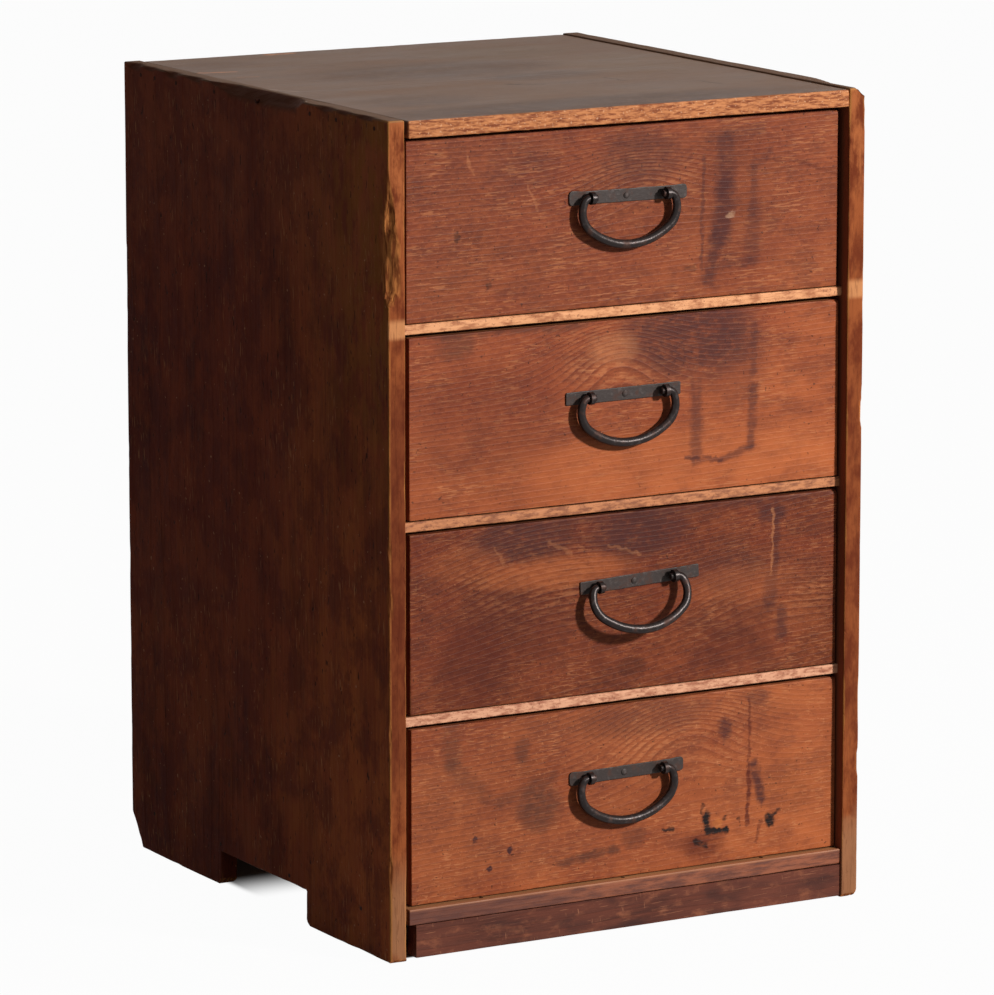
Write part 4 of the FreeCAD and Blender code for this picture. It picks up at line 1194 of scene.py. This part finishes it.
# %% Finishes of the inside
def dress_aged(vector, at, colour, rough, height):
    """Old tide marks and dust over unstained wood."""
    tide = cloud(vector, (90, 90, 60), 80, 4.0, 0.6)
    ring = ease(tide, 0.50, 0.56) * ease(tide, 0.62, 0.57)
    colour = mix(ring * 0.35, colour, paint(104, 68, 44))
    dust = ease(cloud(vector, (40, 40, 40), 82, 5.0, 0.6), 0.45, 0.75)
    colour = mix(dust * 0.3, colour, paint(150, 124, 100))
    worn = attribute(vector.finish, "worn")
    return mix(worn * 0.4, colour, paint(190, 146, 104)), rough, height


across_wood = wood("inner_wood_across", Pith("x", "y", BACK + 60, 215, 0.05), 5.0, AGED,
                   AGED_LATE, 13, sway=16, roughness=0.7, specular=0.2, dress=dress_aged)
deep_wood = wood("inner_wood_deep", Pith("y", "x", 60, 330, 0.06), 4.4, AGED, AGED_LATE, 15,
                 sway=14, roughness=0.7, specular=0.2, dress=dress_aged)
base_wood = wood("base_wood", Pith("x", "z", 700, 30, 0.05), 5.0, AGED, AGED_LATE, 17,
                 sway=20, roughness=0.7, specular=0.2, dress=dress_aged)
peg_finish = wood("peg_wood", Pith("x", "y", 0, 0), 0.8, paint(58, 30, 22), paint(34, 18, 14),
                  19, sway=0.5, specular=0.01)
print("finishes of the inside and of the pegs")

# %% [markdown]
# ## The side boards
#
# Each side is one wide board whose grain stands upright. Its lower edge has a notch that leaves
# two feet, and its inner face has grooves for the shelves and a rebate for the back. The grooves
# are cut with a Boolean, as a plough plane cuts them, because they have sharp straight walls.
# That comes before the faces are sunk, because a Boolean can turn a board inside out where its
# faces cross in a deep chip. The left side has a long scoop in its front edge and a ragged upper
# arris, and the right side has only broken corners.

# %% Side boards
FOOT_FRONT = FRONT + 116.5
FOOT_BACK = FOOT_FRONT + 122
NOTCH_TOP = span("bottom_board", "z")[0]
TOP_LOWER, TOP_UPPER = span("top_board", "z")
BACK_FACE = span("back_board_lower", "y")[0]
BACK_INSET = span("back_board_lower", "x")[1]
HOUSING_END = span("shelf_1", "x")[1]
REAR_TAPER = 15
TONGUE_THICK = 6
TONGUE_FRONT = FRONT + 8
TONGUE_LOW = (TOP_LOWER + TOP_UPPER - TONGUE_THICK) / 2
SIDE_LINES = (0.35, 0.9, 1.7, 3.0, 5.0)
SIDE_SEEDS = {"left": 2, "right": 8}


def side_corners():
    """Outline of a side board in y and z, with its two feet."""
    return [
        (FRONT, 0), (FOOT_FRONT, 0), (FOOT_FRONT, NOTCH_TOP), (FOOT_BACK, NOTCH_TOP),
        (FOOT_BACK, 0), (BACK - REAR_TAPER, 0), (BACK, NOTCH_TOP), (BACK, HEIGHT),
        (FRONT, HEIGHT)]


def side_chips(outer, inner):
    """Chips of a side board whose outer and inner faces are at these places."""
    middle = (outer + inner) / 2
    feet = [Chip((y, 0, middle), (12, 12, 20), (12, 12, 20), 5.0)
            for y in (FOOT_FRONT, FOOT_BACK, BACK - REAR_TAPER)]
    feet.append(Chip((FRONT, 0, middle), (9, 9, 20), (9, 9, 20), 2.5))
    if outer > 0:
        corner = [
            Chip((FRONT + 1, HEIGHT, outer), (30, 30, 30), (60, 30, 30), 7.5),
            Chip((FRONT, HEIGHT, outer), (12, 60, 12), (12, 12, 12), 3.2),
            Chip((FRONT, 0, outer), (14, 14, 14), (14, 78, 14), 5.0),
        ]
        knocks = [Chip((FRONT, z, outer), (6, 9, 6), (6, 14, 6), 2.2) for z in (330, 92)]
        return feet + corner + knocks
    scoop = [
        Chip((FRONT, 474, outer), (16, 40, 16), (16, 46, 16), 7.0, 1.4),
        Chip((FRONT, 452, outer), (16, 19, 16), (16, 34, 16), 9.0, 5.0),
    ]
    arris = [
        Chip((FRONT + 172, HEIGHT, outer), (62, 30, 30), (80, 30, 30), 7.0, 2.5),
        Chip((FRONT + 156, HEIGHT, outer), (44, 30, 30), (60, 30, 30), 9.0, 2.5),
    ]
    ragged = [Chip((FRONT + along, HEIGHT, outer), (9, 9, 9), (15, 9, 9), depth)
              for along, depth in ((30, 3.4), (58, 2.6), (84, 3.6), (268, 3.4), (300, 4.2),
                                   (334, 3.0), (358, 4.6))]
    knocks = [Chip((FRONT, z, outer), (6, 10, 6), (6, 16, 6), depth)
              for z, depth in ((236, 2.6), (268, 2.0), (150, 1.8), (60, 2.6))]
    return feet + scoop + arris + ragged + knocks


def side_housings(side):
    """Grooves for the boards that a side carries and the rebate for the back."""
    sign = -1 if side == "left" else 1
    deep = sorted((sign * (INNER_FACE - 1), sign * HOUSING_END))
    rebate = sorted((sign * (INNER_FACE - 1), sign * BACK_INSET))
    grooves = [
        (deep, (TONGUE_FRONT, BACK + 1), (TONGUE_LOW, TONGUE_LOW + TONGUE_THICK)),
        (deep, (TONGUE_FRONT, BACK_FACE + 1), (NOTCH_TOP, BOTTOM_UPPER)),
    ]
    for number in SHELVES:
        node = f"shelf_{number}"
        grooves.append((deep, (span(node, "y")[0], BACK_FACE + 1), span(node, "z")))
    return grooves, [(rebate, (BACK_FACE, BACK + 1), (NOTCH_TOP, TOP_LOWER))]


for side in ("left", "right"):
    node = f"side_panel_{side}"
    inner, outer = sorted(span(node, "x"), key=abs)
    seed = SIDE_SEEDS[side]
    panel = board(f"{side}_side", "x", side_corners(), span(node, "x"), cells=(7, 5),
                  base=1.0, extra=1.7, seed=seed, lines=SIDE_LINES,
                  chips=side_chips(outer, inner), sunk=0)
    grooves, rebate = side_housings(side)
    carve(panel, grooves)
    carve(panel, rebate)
    sink(panel, 0.3, (70, 16), seed)
    settle(panel, "carcass", "side_wood", sides, node)
    print(node, len(panel.data.polygons), "faces")

# %% [markdown]
# ## The boards between the sides
#
# The top and the bottom are let into the sides, and the plinth closes the gap below the bottom.
# Their front edges are what shows, so they get worn arrises. The joints at the left have opened
# with age: the top's visible part stops short of the side, and its tongue bridges the gap.

# %% Top, bottom and plinth
OPEN_JOINT = -INNER_FACE + 2.8
FLAT_AXES = {"x": "yz", "y": "zx", "z": "xy"}


def node_corners(node, axis):
    """Outline of a rectangular board, from its CAD node."""
    first, second = FLAT_AXES[axis]
    return rectangle(span(node, first), span(node, second))


top_front, top_back = span("top_board", "y")
panel = board("top_panel", "z", rectangle((OPEN_JOINT, INNER_FACE), (top_front, top_back)),
              span("top_board", "z"), cells=(3, 14), base=0.6, extra=1.1, seed=30, sunk=0.35,
              chips=[Chip((-82, top_front, TOP_UPPER), (22, 6, 6), (26, 6, 6), 2.2),
                     Chip((96, top_front, TOP_UPPER), (10, 5, 5), (30, 5, 5), 1.6)])
carve(panel, [((-HOUSING_END, HOUSING_END), (TONGUE_FRONT, top_back - 0.5),
               (TONGUE_LOW, TONGUE_LOW + TONGUE_THICK))], "UNION")
settle(panel, "carcass", "top_wood", top, "top_board")

front, back = span("bottom_board", "y")
floor_corners = [
    (OPEN_JOINT, front), (INNER_FACE, front), (INNER_FACE, TONGUE_FRONT),
    (HOUSING_END, TONGUE_FRONT), (HOUSING_END, back), (-HOUSING_END, back),
    (-HOUSING_END, TONGUE_FRONT), (OPEN_JOINT, TONGUE_FRONT)]
panel = board("bottom_panel", "z", floor_corners, span("bottom_board", "z"), cells=(4, 26),
              base=0.5, extra=0.9, seed=31)
settle(panel, "carcass", "edge_wood", bottom, "bottom_board")

panel = board("plinth", "y", node_corners("plinth_board", "y"), span("plinth_board", "y"),
              cells=(4, 4), base=0.4, extra=0.7, seed=36, sunk=0.2)
settle(panel, "carcass", "side_wood", plinth, "plinth_board")
print("top, bottom and plinth")

# %% [markdown]
# ## Shelves and back
#
# The drawers slide on thin shelves that run the full depth. Their front edges have dents from
# drawers that were pushed in askew. Three thin boards close the back. Both come out of the same
# board tool, in two loops, because only their sizes and seeds differ.

# %% Shelves and back boards
for number in SHELVES:
    node = f"shelf_{number}"
    shelf_front = span(node, "y")[0]
    level = span(node, "z")[1]
    dents = [Chip((x, shelf_front, level), (8, 4, 4), (14, 4, 4), 1.7)
             for x in (-150 + 37 * number, -20 - 25 * number, 60 + 21 * number)]
    panel = board(f"{node}_board", "z", node_corners(node, "z"), span(node, "z"),
                  cells=(2.6, 26), base=0.5, extra=1.0, seed=31 + number, chips=dents)
    settle(panel, "carcass", "edge_wood", shelves[number], node)

for seed, level in enumerate(("upper", "middle", "lower"), start=37):
    node = f"back_board_{level}"
    panel = board(f"{node}_worn", "y", node_corners(node, "y"), span(node, "y"),
                  cells=(9, 12), base=0.4, extra=1.0, seed=seed, sunk=0.35)
    settle(panel, "carcass", "inner_wood", across_wood, node)
print("three shelves and three back boards")

# %% [markdown]
# ## Drawers
#
# A drawer is a box of thin unstained boards behind its front. The front has rebates at its ends
# and underneath, so that it covers the ends of the sides and the edge of the bottom.

# %% Drawer boards
for number in DRAWERS:
    body = f"drawer_{number}"
    node = f"{body}_front"
    (left, right), (low, high) = span(node, "x"), span(node, "z")
    back = span(node, "y")[1]
    lip = span(f"{body}_bottom", "y")[0]
    box_low = span(f"{body}_side_left", "z")[0]
    box_thick = span(f"{body}_side_left", "x")[1] - left
    corner = Chip((high, right, DRAWER_FACE), (5, 6, 5), (5, 6, 5), 2.4)
    panel = board(f"{body}_panel", "y", node_corners(node, "y"), span(node, "y"),
                  cells=(4, 3.2), base=0.5, extra=0.9, seed=50 + number, chips=[corner])
    carve(panel, [
        ((left - 1, left + box_thick), (lip, back + 1), (low - 1, high + 1)),
        ((right - box_thick, right + 1), (lip, back + 1), (low - 1, high + 1))])
    carve(panel, [((left - 1, right + 1), (lip, back + 1), (low - 1, box_low))])
    settle(panel, body, "front_wood", fronts[number], node)

    boards = (
        ("side_left", "x", (16, 8), deep_wood),
        ("side_right", "x", (16, 8), deep_wood),
        ("back", "y", (8, 16), across_wood),
        ("bottom", "z", (18, 18), base_wood),
    )
    for seed, (part, axis, cells, finish) in enumerate(boards, start=60 + 10 * number):
        node = f"{body}_{part}"
        panel = board(f"{node}_board", axis, node_corners(node, axis), span(node, axis),
                      cells=cells, base=0.35, extra=0.6, seed=seed, sunk=0.15)
        settle(panel, body, "inner_wood", finish, node)
    print(body, "made")

# %% [markdown]
# ## Iron
#
# Each handle is smith's work: a flat strip, two split pins bent from thinner strip, and a round
# rod drawn thinner towards its ends and bent to a D. The surface is dark scale with a little
# brown rust, smoother where fingers rub it.

# %% Iron finish
def iron(name, dark, bright, metal, roughness):
    """A forged finish: dark skin, rust in patches, brighter where the hammer left it proud."""
    finish = Finish(bpy.data.materials.new(name))
    vector, at = place_on(finish)
    hammer = cloud(vector, (3.2, 3.2, 3.2), 61, 2.0)
    pits = cloud(vector, (0.9, 0.9, 0.9), 62, 3.0)
    rust = ease(cloud(vector, (6, 6, 6), 63, 4.0), 0.5, 0.72)
    colour = mix(rust * 0.65, dark, paint(66, 41, 32))
    colour = mix(ease(hammer, 0.55, 0.72) * 0.5, colour, bright)
    return give_skin(finish, 0.45, 0.4, hammer + pits * 0.35, Base_Color=colour,
                     Metallic=metal, Roughness=roughness + rust * 0.25, Specular_IOR_Level=0.25)


plate_iron = iron("plate_iron", paint(46, 38, 36), paint(74, 66, 64), 0.15, 0.5)
rod_iron = iron("rod_iron", paint(34, 27, 26), paint(64, 58, 58), 0.45, 0.34)
print("two iron finishes: dull plates, and rods polished by hands")

# %% [markdown]
# ## Where a handle sits
#
# The four handles are alike and sit differently: the third one slopes and its bail stands out.
# So each part is modelled once in a handle's own frame, with X along the plate, and then moved
# into the chest by that frame's matrix. The frame is read from the two eyes of the CAD model.

# %% Sizes of a handle
PIVOT_OUT = 5.6
BAIL_DROP = 31.5
BAIL_HALF = 35.75
CORNER_RADIUS = 15.5
CORNER_DROP = 9
ELBOW_RADIUS = 4.5
ROD_MIDDLE = 3.25
ROD_END = 2.6
PIN_RADIUS = 2.35
PIN_INNER = 24.6
ROD_SIDES = 16
BAIL_SWING = {1: 0, 2: 0, 3: 20, 4: 0}
LOBED_PLATES = (1, 4)


def handle_frame(number):
    """A handle's own frame: on the drawer front, X along the plate, Z across it."""
    left = middle_of(f"handle_{number}_eye_left")
    right = middle_of(f"handle_{number}_eye_right")
    tilt = math.atan2(right.z - left.z, right.x - left.x)
    place = Vector((left.x + right.x, 2 * DRAWER_FACE, left.z + right.z)) / 2
    return Matrix.Translation(place * MM) @ Matrix.Rotation(-tilt, 4, "Y")


def soften(piece, width, limit):
    """Bevel the edges that turn by more than the limit in degrees."""
    bevel = piece.modifiers.new("soften", "BEVEL")
    bevel.width = width * MM
    bevel.segments = 2
    bevel.angle_limit = math.radians(limit)
    bpy.ops.object.modifier_apply(modifier="soften")


def add_other_half(piece, axis, merge):
    """Mirror a half piece across the middle and join what lies closer than merge."""
    mirror = piece.modifiers.new("other half", "MIRROR")
    mirror.use_axis = [name == axis for name in "xyz"]
    mirror.merge_threshold = merge * MM
    bpy.ops.object.modifier_apply(modifier="other half")


def finish_iron(piece, name, node, body, place, iron_finish):
    """Put a forged piece in its place on the chest and let it stand for its CAD node."""
    piece.name = name
    piece.data.transform(place)
    piece.data.update()
    settle(piece, body, "iron", iron_finish, node)


print("handle frames at", [tuple(round(v / MM) for v in handle_frame(n).translation)
                           for n in DRAWERS])


# %% [markdown]
# ## The bail
#
# The bail is a rod bent to a D, thick in the middle and thin where it goes through the eyes. A
# circle is spun round three centres, as a smith bends a rod round three pegs, and its straight
# end is extruded. Then every ring is scaled to its own thickness. Half is enough: it's mirrored.

# %% The bail
def bail_rod():
    """Half of the rod is spun round three centres, then mirrored."""
    corner = Vector((BAIL_HALF - CORNER_RADIUS, 0, -CORNER_DROP))
    reach = CORNER_RADIUS - ELBOW_RADIUS
    rise = -ELBOW_RADIUS - corner.z
    elbow = Vector((corner.x + math.sqrt(reach ** 2 - rise ** 2), 0, -ELBOW_RADIUS))
    above = corner.z + BAIL_DROP
    sweep = (corner.x ** 2 + above ** 2 - CORNER_RADIUS ** 2) / (2 * (above - CORNER_RADIUS))
    centres = [Vector((0, 0, sweep - BAIL_DROP)), corner, elbow]
    headings = []
    for centre, following in zip(centres, centres[1:]):
        way = following - centre
        headings.append(math.atan2(way.x, -way.z))
    headings.append(math.pi)

    bpy.ops.object.select_all(action="DESELECT")
    bpy.ops.mesh.primitive_circle_add(
        vertices=ROD_SIDES, radius=ROD_MIDDLE * MM, location=(0, 0, -BAIL_DROP * MM),
        rotation=(0, math.pi / 2, 0))
    piece = bpy.context.object
    bpy.ops.object.transform_apply(location=True, rotation=True, scale=True)
    bpy.ops.object.mode_set(mode="EDIT")
    bpy.ops.mesh.select_all(action="SELECT")
    turned = 0
    for centre, heading, steps in zip(centres, headings, (9, 12, 8)):
        bpy.ops.mesh.spin(steps=steps, angle=heading - turned, center=centre * MM,
                          axis=(0, 1, 0))
        turned = heading
    for step in range(2):
        bpy.ops.mesh.extrude_region_move(
            TRANSFORM_OT_translate={"value": ((PIN_INNER - elbow.x) / 2 * MM, 0, 0)})
    bpy.ops.mesh.edge_face_add()
    bpy.ops.object.mode_set(mode="OBJECT")

    vertices = piece.data.vertices
    count = len(vertices) // ROD_SIDES
    for ring in range(count):
        members = [vertices[ring * ROD_SIDES + side] for side in range(ROD_SIDES)]
        middle = sum((vertex.co for vertex in members), Vector()) / ROD_SIDES
        share = ring / (count - 3)
        radius = ROD_MIDDLE + (ROD_END - ROD_MIDDLE) * share ** 1.5
        if share >= 1:
            radius = PIN_RADIUS
        for vertex in members:
            vertex.co = middle + (vertex.co - middle) * radius / ROD_MIDDLE
    add_other_half(piece, "x", 1.0)
    soften(piece, 0.5, 60)
    bpy.ops.object.mode_set(mode="EDIT")
    bpy.ops.mesh.select_all(action="SELECT")
    bpy.ops.mesh.normals_make_consistent(inside=False)
    bpy.ops.object.mode_set(mode="OBJECT")
    return piece


for number in DRAWERS:
    piece = bail_rod()
    sink(piece, 0.35, (9, 4), number)
    swing = math.radians(BAIL_SWING[number])
    pivot = Matrix.Translation((0, -PIVOT_OUT * MM, 0)) @ Matrix.Rotation(-swing, 4, "X")
    finish_iron(piece, f"bail_{number}", f"handle_{number}_bail", f"bail_{number}",
                handle_frame(number) @ pivot, rod_iron)
print("four bails")

# %% [markdown]
# ## The eyes
#
# An eye is a split pin: a narrow strip bent round the rod, with both legs driven through the
# drawer front and turned over inside. The strip's cross-section is spun to a loop and extruded
# to the leg and its turned tip, for the upper half only. A mirror adds the lower half.

# %% Eyes
EYE_WIDTH = 3.0
EYE_OUTER = 4.2
EYE_BORE = 2.5
LEG_THICK = 1.1
LEG_END = 9
FRONT_THICK = span("drawer_1_front", "y")[1] - DRAWER_FACE


def eye_strip():
    """Upper half of a split pin: a bent loop, a leg through the front, and its turned end."""
    radius = (EYE_OUTER + EYE_BORE) / 2
    bpy.ops.object.select_all(action="DESELECT")
    bpy.ops.mesh.primitive_plane_add(size=1)
    piece = bpy.context.object
    give_size(piece, (EYE_WIDTH, EYE_OUTER - EYE_BORE, 1), (0, -radius, 0))
    bpy.ops.object.mode_set(mode="EDIT")
    bpy.ops.mesh.select_all(action="SELECT")
    bpy.ops.mesh.spin(steps=10, angle=math.radians(158), center=(0, 0, 0), axis=(1, 0, 0))
    bpy.ops.object.mode_set(mode="OBJECT")
    end = [vertex for vertex in piece.data.vertices if vertex.select]
    for vertex in end:
        outer = vertex.co.z > sum(other.co.z for other in end) / len(end)
        vertex.co.z = (LEG_THICK if outer else 0.08) * MM
        vertex.co.y = radius * MM
    bpy.ops.object.mode_set(mode="EDIT")
    inside = PIVOT_OUT + FRONT_THICK
    leg = inside - radius
    bpy.ops.mesh.extrude_region_move(TRANSFORM_OT_translate={"value": (0, leg * MM, 0)})
    bpy.ops.mesh.extrude_region_move(
        TRANSFORM_OT_translate={"value": (0, LEG_THICK * MM, 0)})
    bpy.ops.mesh.normals_make_consistent(inside=False)
    bpy.ops.object.mode_set(mode="OBJECT")
    pick_parts(piece, "FACE", lambda face: (face.center.y > (inside + 0.1) * MM
                                            and face.center.z > 0.9 * LEG_THICK * MM))
    bpy.ops.mesh.extrude_region_move(
        TRANSFORM_OT_translate={"value": (0, 0, (LEG_END - LEG_THICK) * MM)})
    bpy.ops.object.mode_set(mode="OBJECT")
    pick_parts(piece, "FACE", lambda face: abs(face.center.z) < 0.01 * MM)
    bpy.ops.mesh.delete(type="ONLY_FACE")
    bpy.ops.mesh.select_mode(type="VERT")
    bpy.ops.object.mode_set(mode="OBJECT")
    add_other_half(piece, "z", 0.02)
    soften(piece, 0.28, 50)
    return piece


for number in DRAWERS:
    place = handle_frame(number)
    for side in ("left", "right"):
        node = f"handle_{number}_eye_{side}"
        own = place.inverted() @ (middle_of(node) * MM)
        piece = eye_strip()
        sink(piece, 0.1, (4, 2), number * 2 + (side == "right"))
        spot = Matrix.Translation((own.x, -PIVOT_OUT * MM, 0))
        finish_iron(piece, f"eye_{number}_{side}", node, f"drawer_{number}", place @ spot,
                    rod_iron)
print("eight eyes")

# %% [markdown]
# ## The plates
#
# A plate is a thin strip. Its corners are filed round with a bevel on the four short edges, and
# an inset holds the rim's shape. Lines ruled across it let the outline and the face be made
# uneven, as a hammer leaves them. Two of the plates have ends that swell a little.

# %% Plates
PLATE_THICK = 1.2
PLATE_HEIGHT = 8.5
PLATE_LINES = 18
PLATE_RIM = 0.45


def plate_strip(low, high, corner, lobed, seed):
    """A strip of iron, its corners filed round, hammered a little uneven."""
    bpy.ops.object.select_all(action="DESELECT")
    bpy.ops.mesh.primitive_cube_add(size=1)
    piece = bpy.context.object
    middle, half = (low + high) / 2, (high - low) / 2
    give_size(piece, (2 * half, PLATE_THICK, PLATE_HEIGHT), (middle, -PLATE_THICK / 2, 0))
    vertices = piece.data.vertices
    pick_parts(piece, "EDGE", lambda edge: abs(
        vertices[edge.vertices[0]].co.y - vertices[edge.vertices[1]].co.y) > PLATE_THICK / 2 * MM)
    bpy.ops.mesh.bevel(offset=corner * MM, segments=6, affect="EDGES")
    bpy.ops.object.mode_set(mode="OBJECT")
    pick_parts(piece, "FACE", lambda face: face.normal.y < -0.99)
    bpy.ops.mesh.inset(thickness=PLATE_RIM * MM)
    bpy.ops.mesh.select_mode(type="VERT")
    rule_across([low + (high - low) * line / PLATE_LINES for line in range(1, PLATE_LINES)],
                (1, 0, 0))
    rule_across((-PLATE_HEIGHT / 5, PLATE_HEIGHT / 5), (0, 0, 1))
    bpy.ops.object.mode_set(mode="OBJECT")
    soften(piece, 0.3, 50)
    shift = Vector((seed * 4.1, 0, 0))
    for vertex in piece.data.vertices:
        from_end = half - abs(vertex.co.x / MM - middle)
        wave = noise.noise(Vector((vertex.co.x / (11 * MM), 0, 0)) + shift)
        vertex.co.z *= 1 + 0.05 * wave
        if lobed:
            vertex.co.z *= 1 + 0.1 * max(0.0, 1 - (from_end - 3) ** 2 / 30)
        dent = 0.5 + 0.5 * noise.noise(vertex.co / (6 * MM) + shift)
        if vertex.co.y < -0.5 * MM:
            vertex.co.y += 0.3 * MM * dent
    return piece


for number in DRAWERS:
    node = f"handle_{number}_plate"
    place = handle_frame(number)
    own = place.inverted() @ (middle_of(node) * MM)
    tilt = place.to_euler().y
    left, right = span(node, "x")
    length = (right - left - PLATE_HEIGHT * abs(math.sin(tilt))) / math.cos(tilt)
    low, high = own.x / MM - length / 2, own.x / MM + length / 2
    lobed = number in LOBED_PLATES
    piece = plate_strip(low, high, 2.2 if lobed else 0.9, lobed, number)
    finish_iron(piece, f"plate_{number}", node, f"drawer_{number}", place, plate_iron)
print("four plates")

# %% [markdown]
# ## Nails and pegs
#
# The nail heads and the peg ends are so small that their CAD shapes are good enough. They keep
# them, and get iron and dark peg wood as their finish.

# %% Nails and pegs
for name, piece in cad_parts.items():
    if name.endswith("pegs"):
        coat(piece, peg_finish)
    if name.endswith("nail"):
        coat(piece, plate_iron)
print("nails and pegs keep their CAD shape")
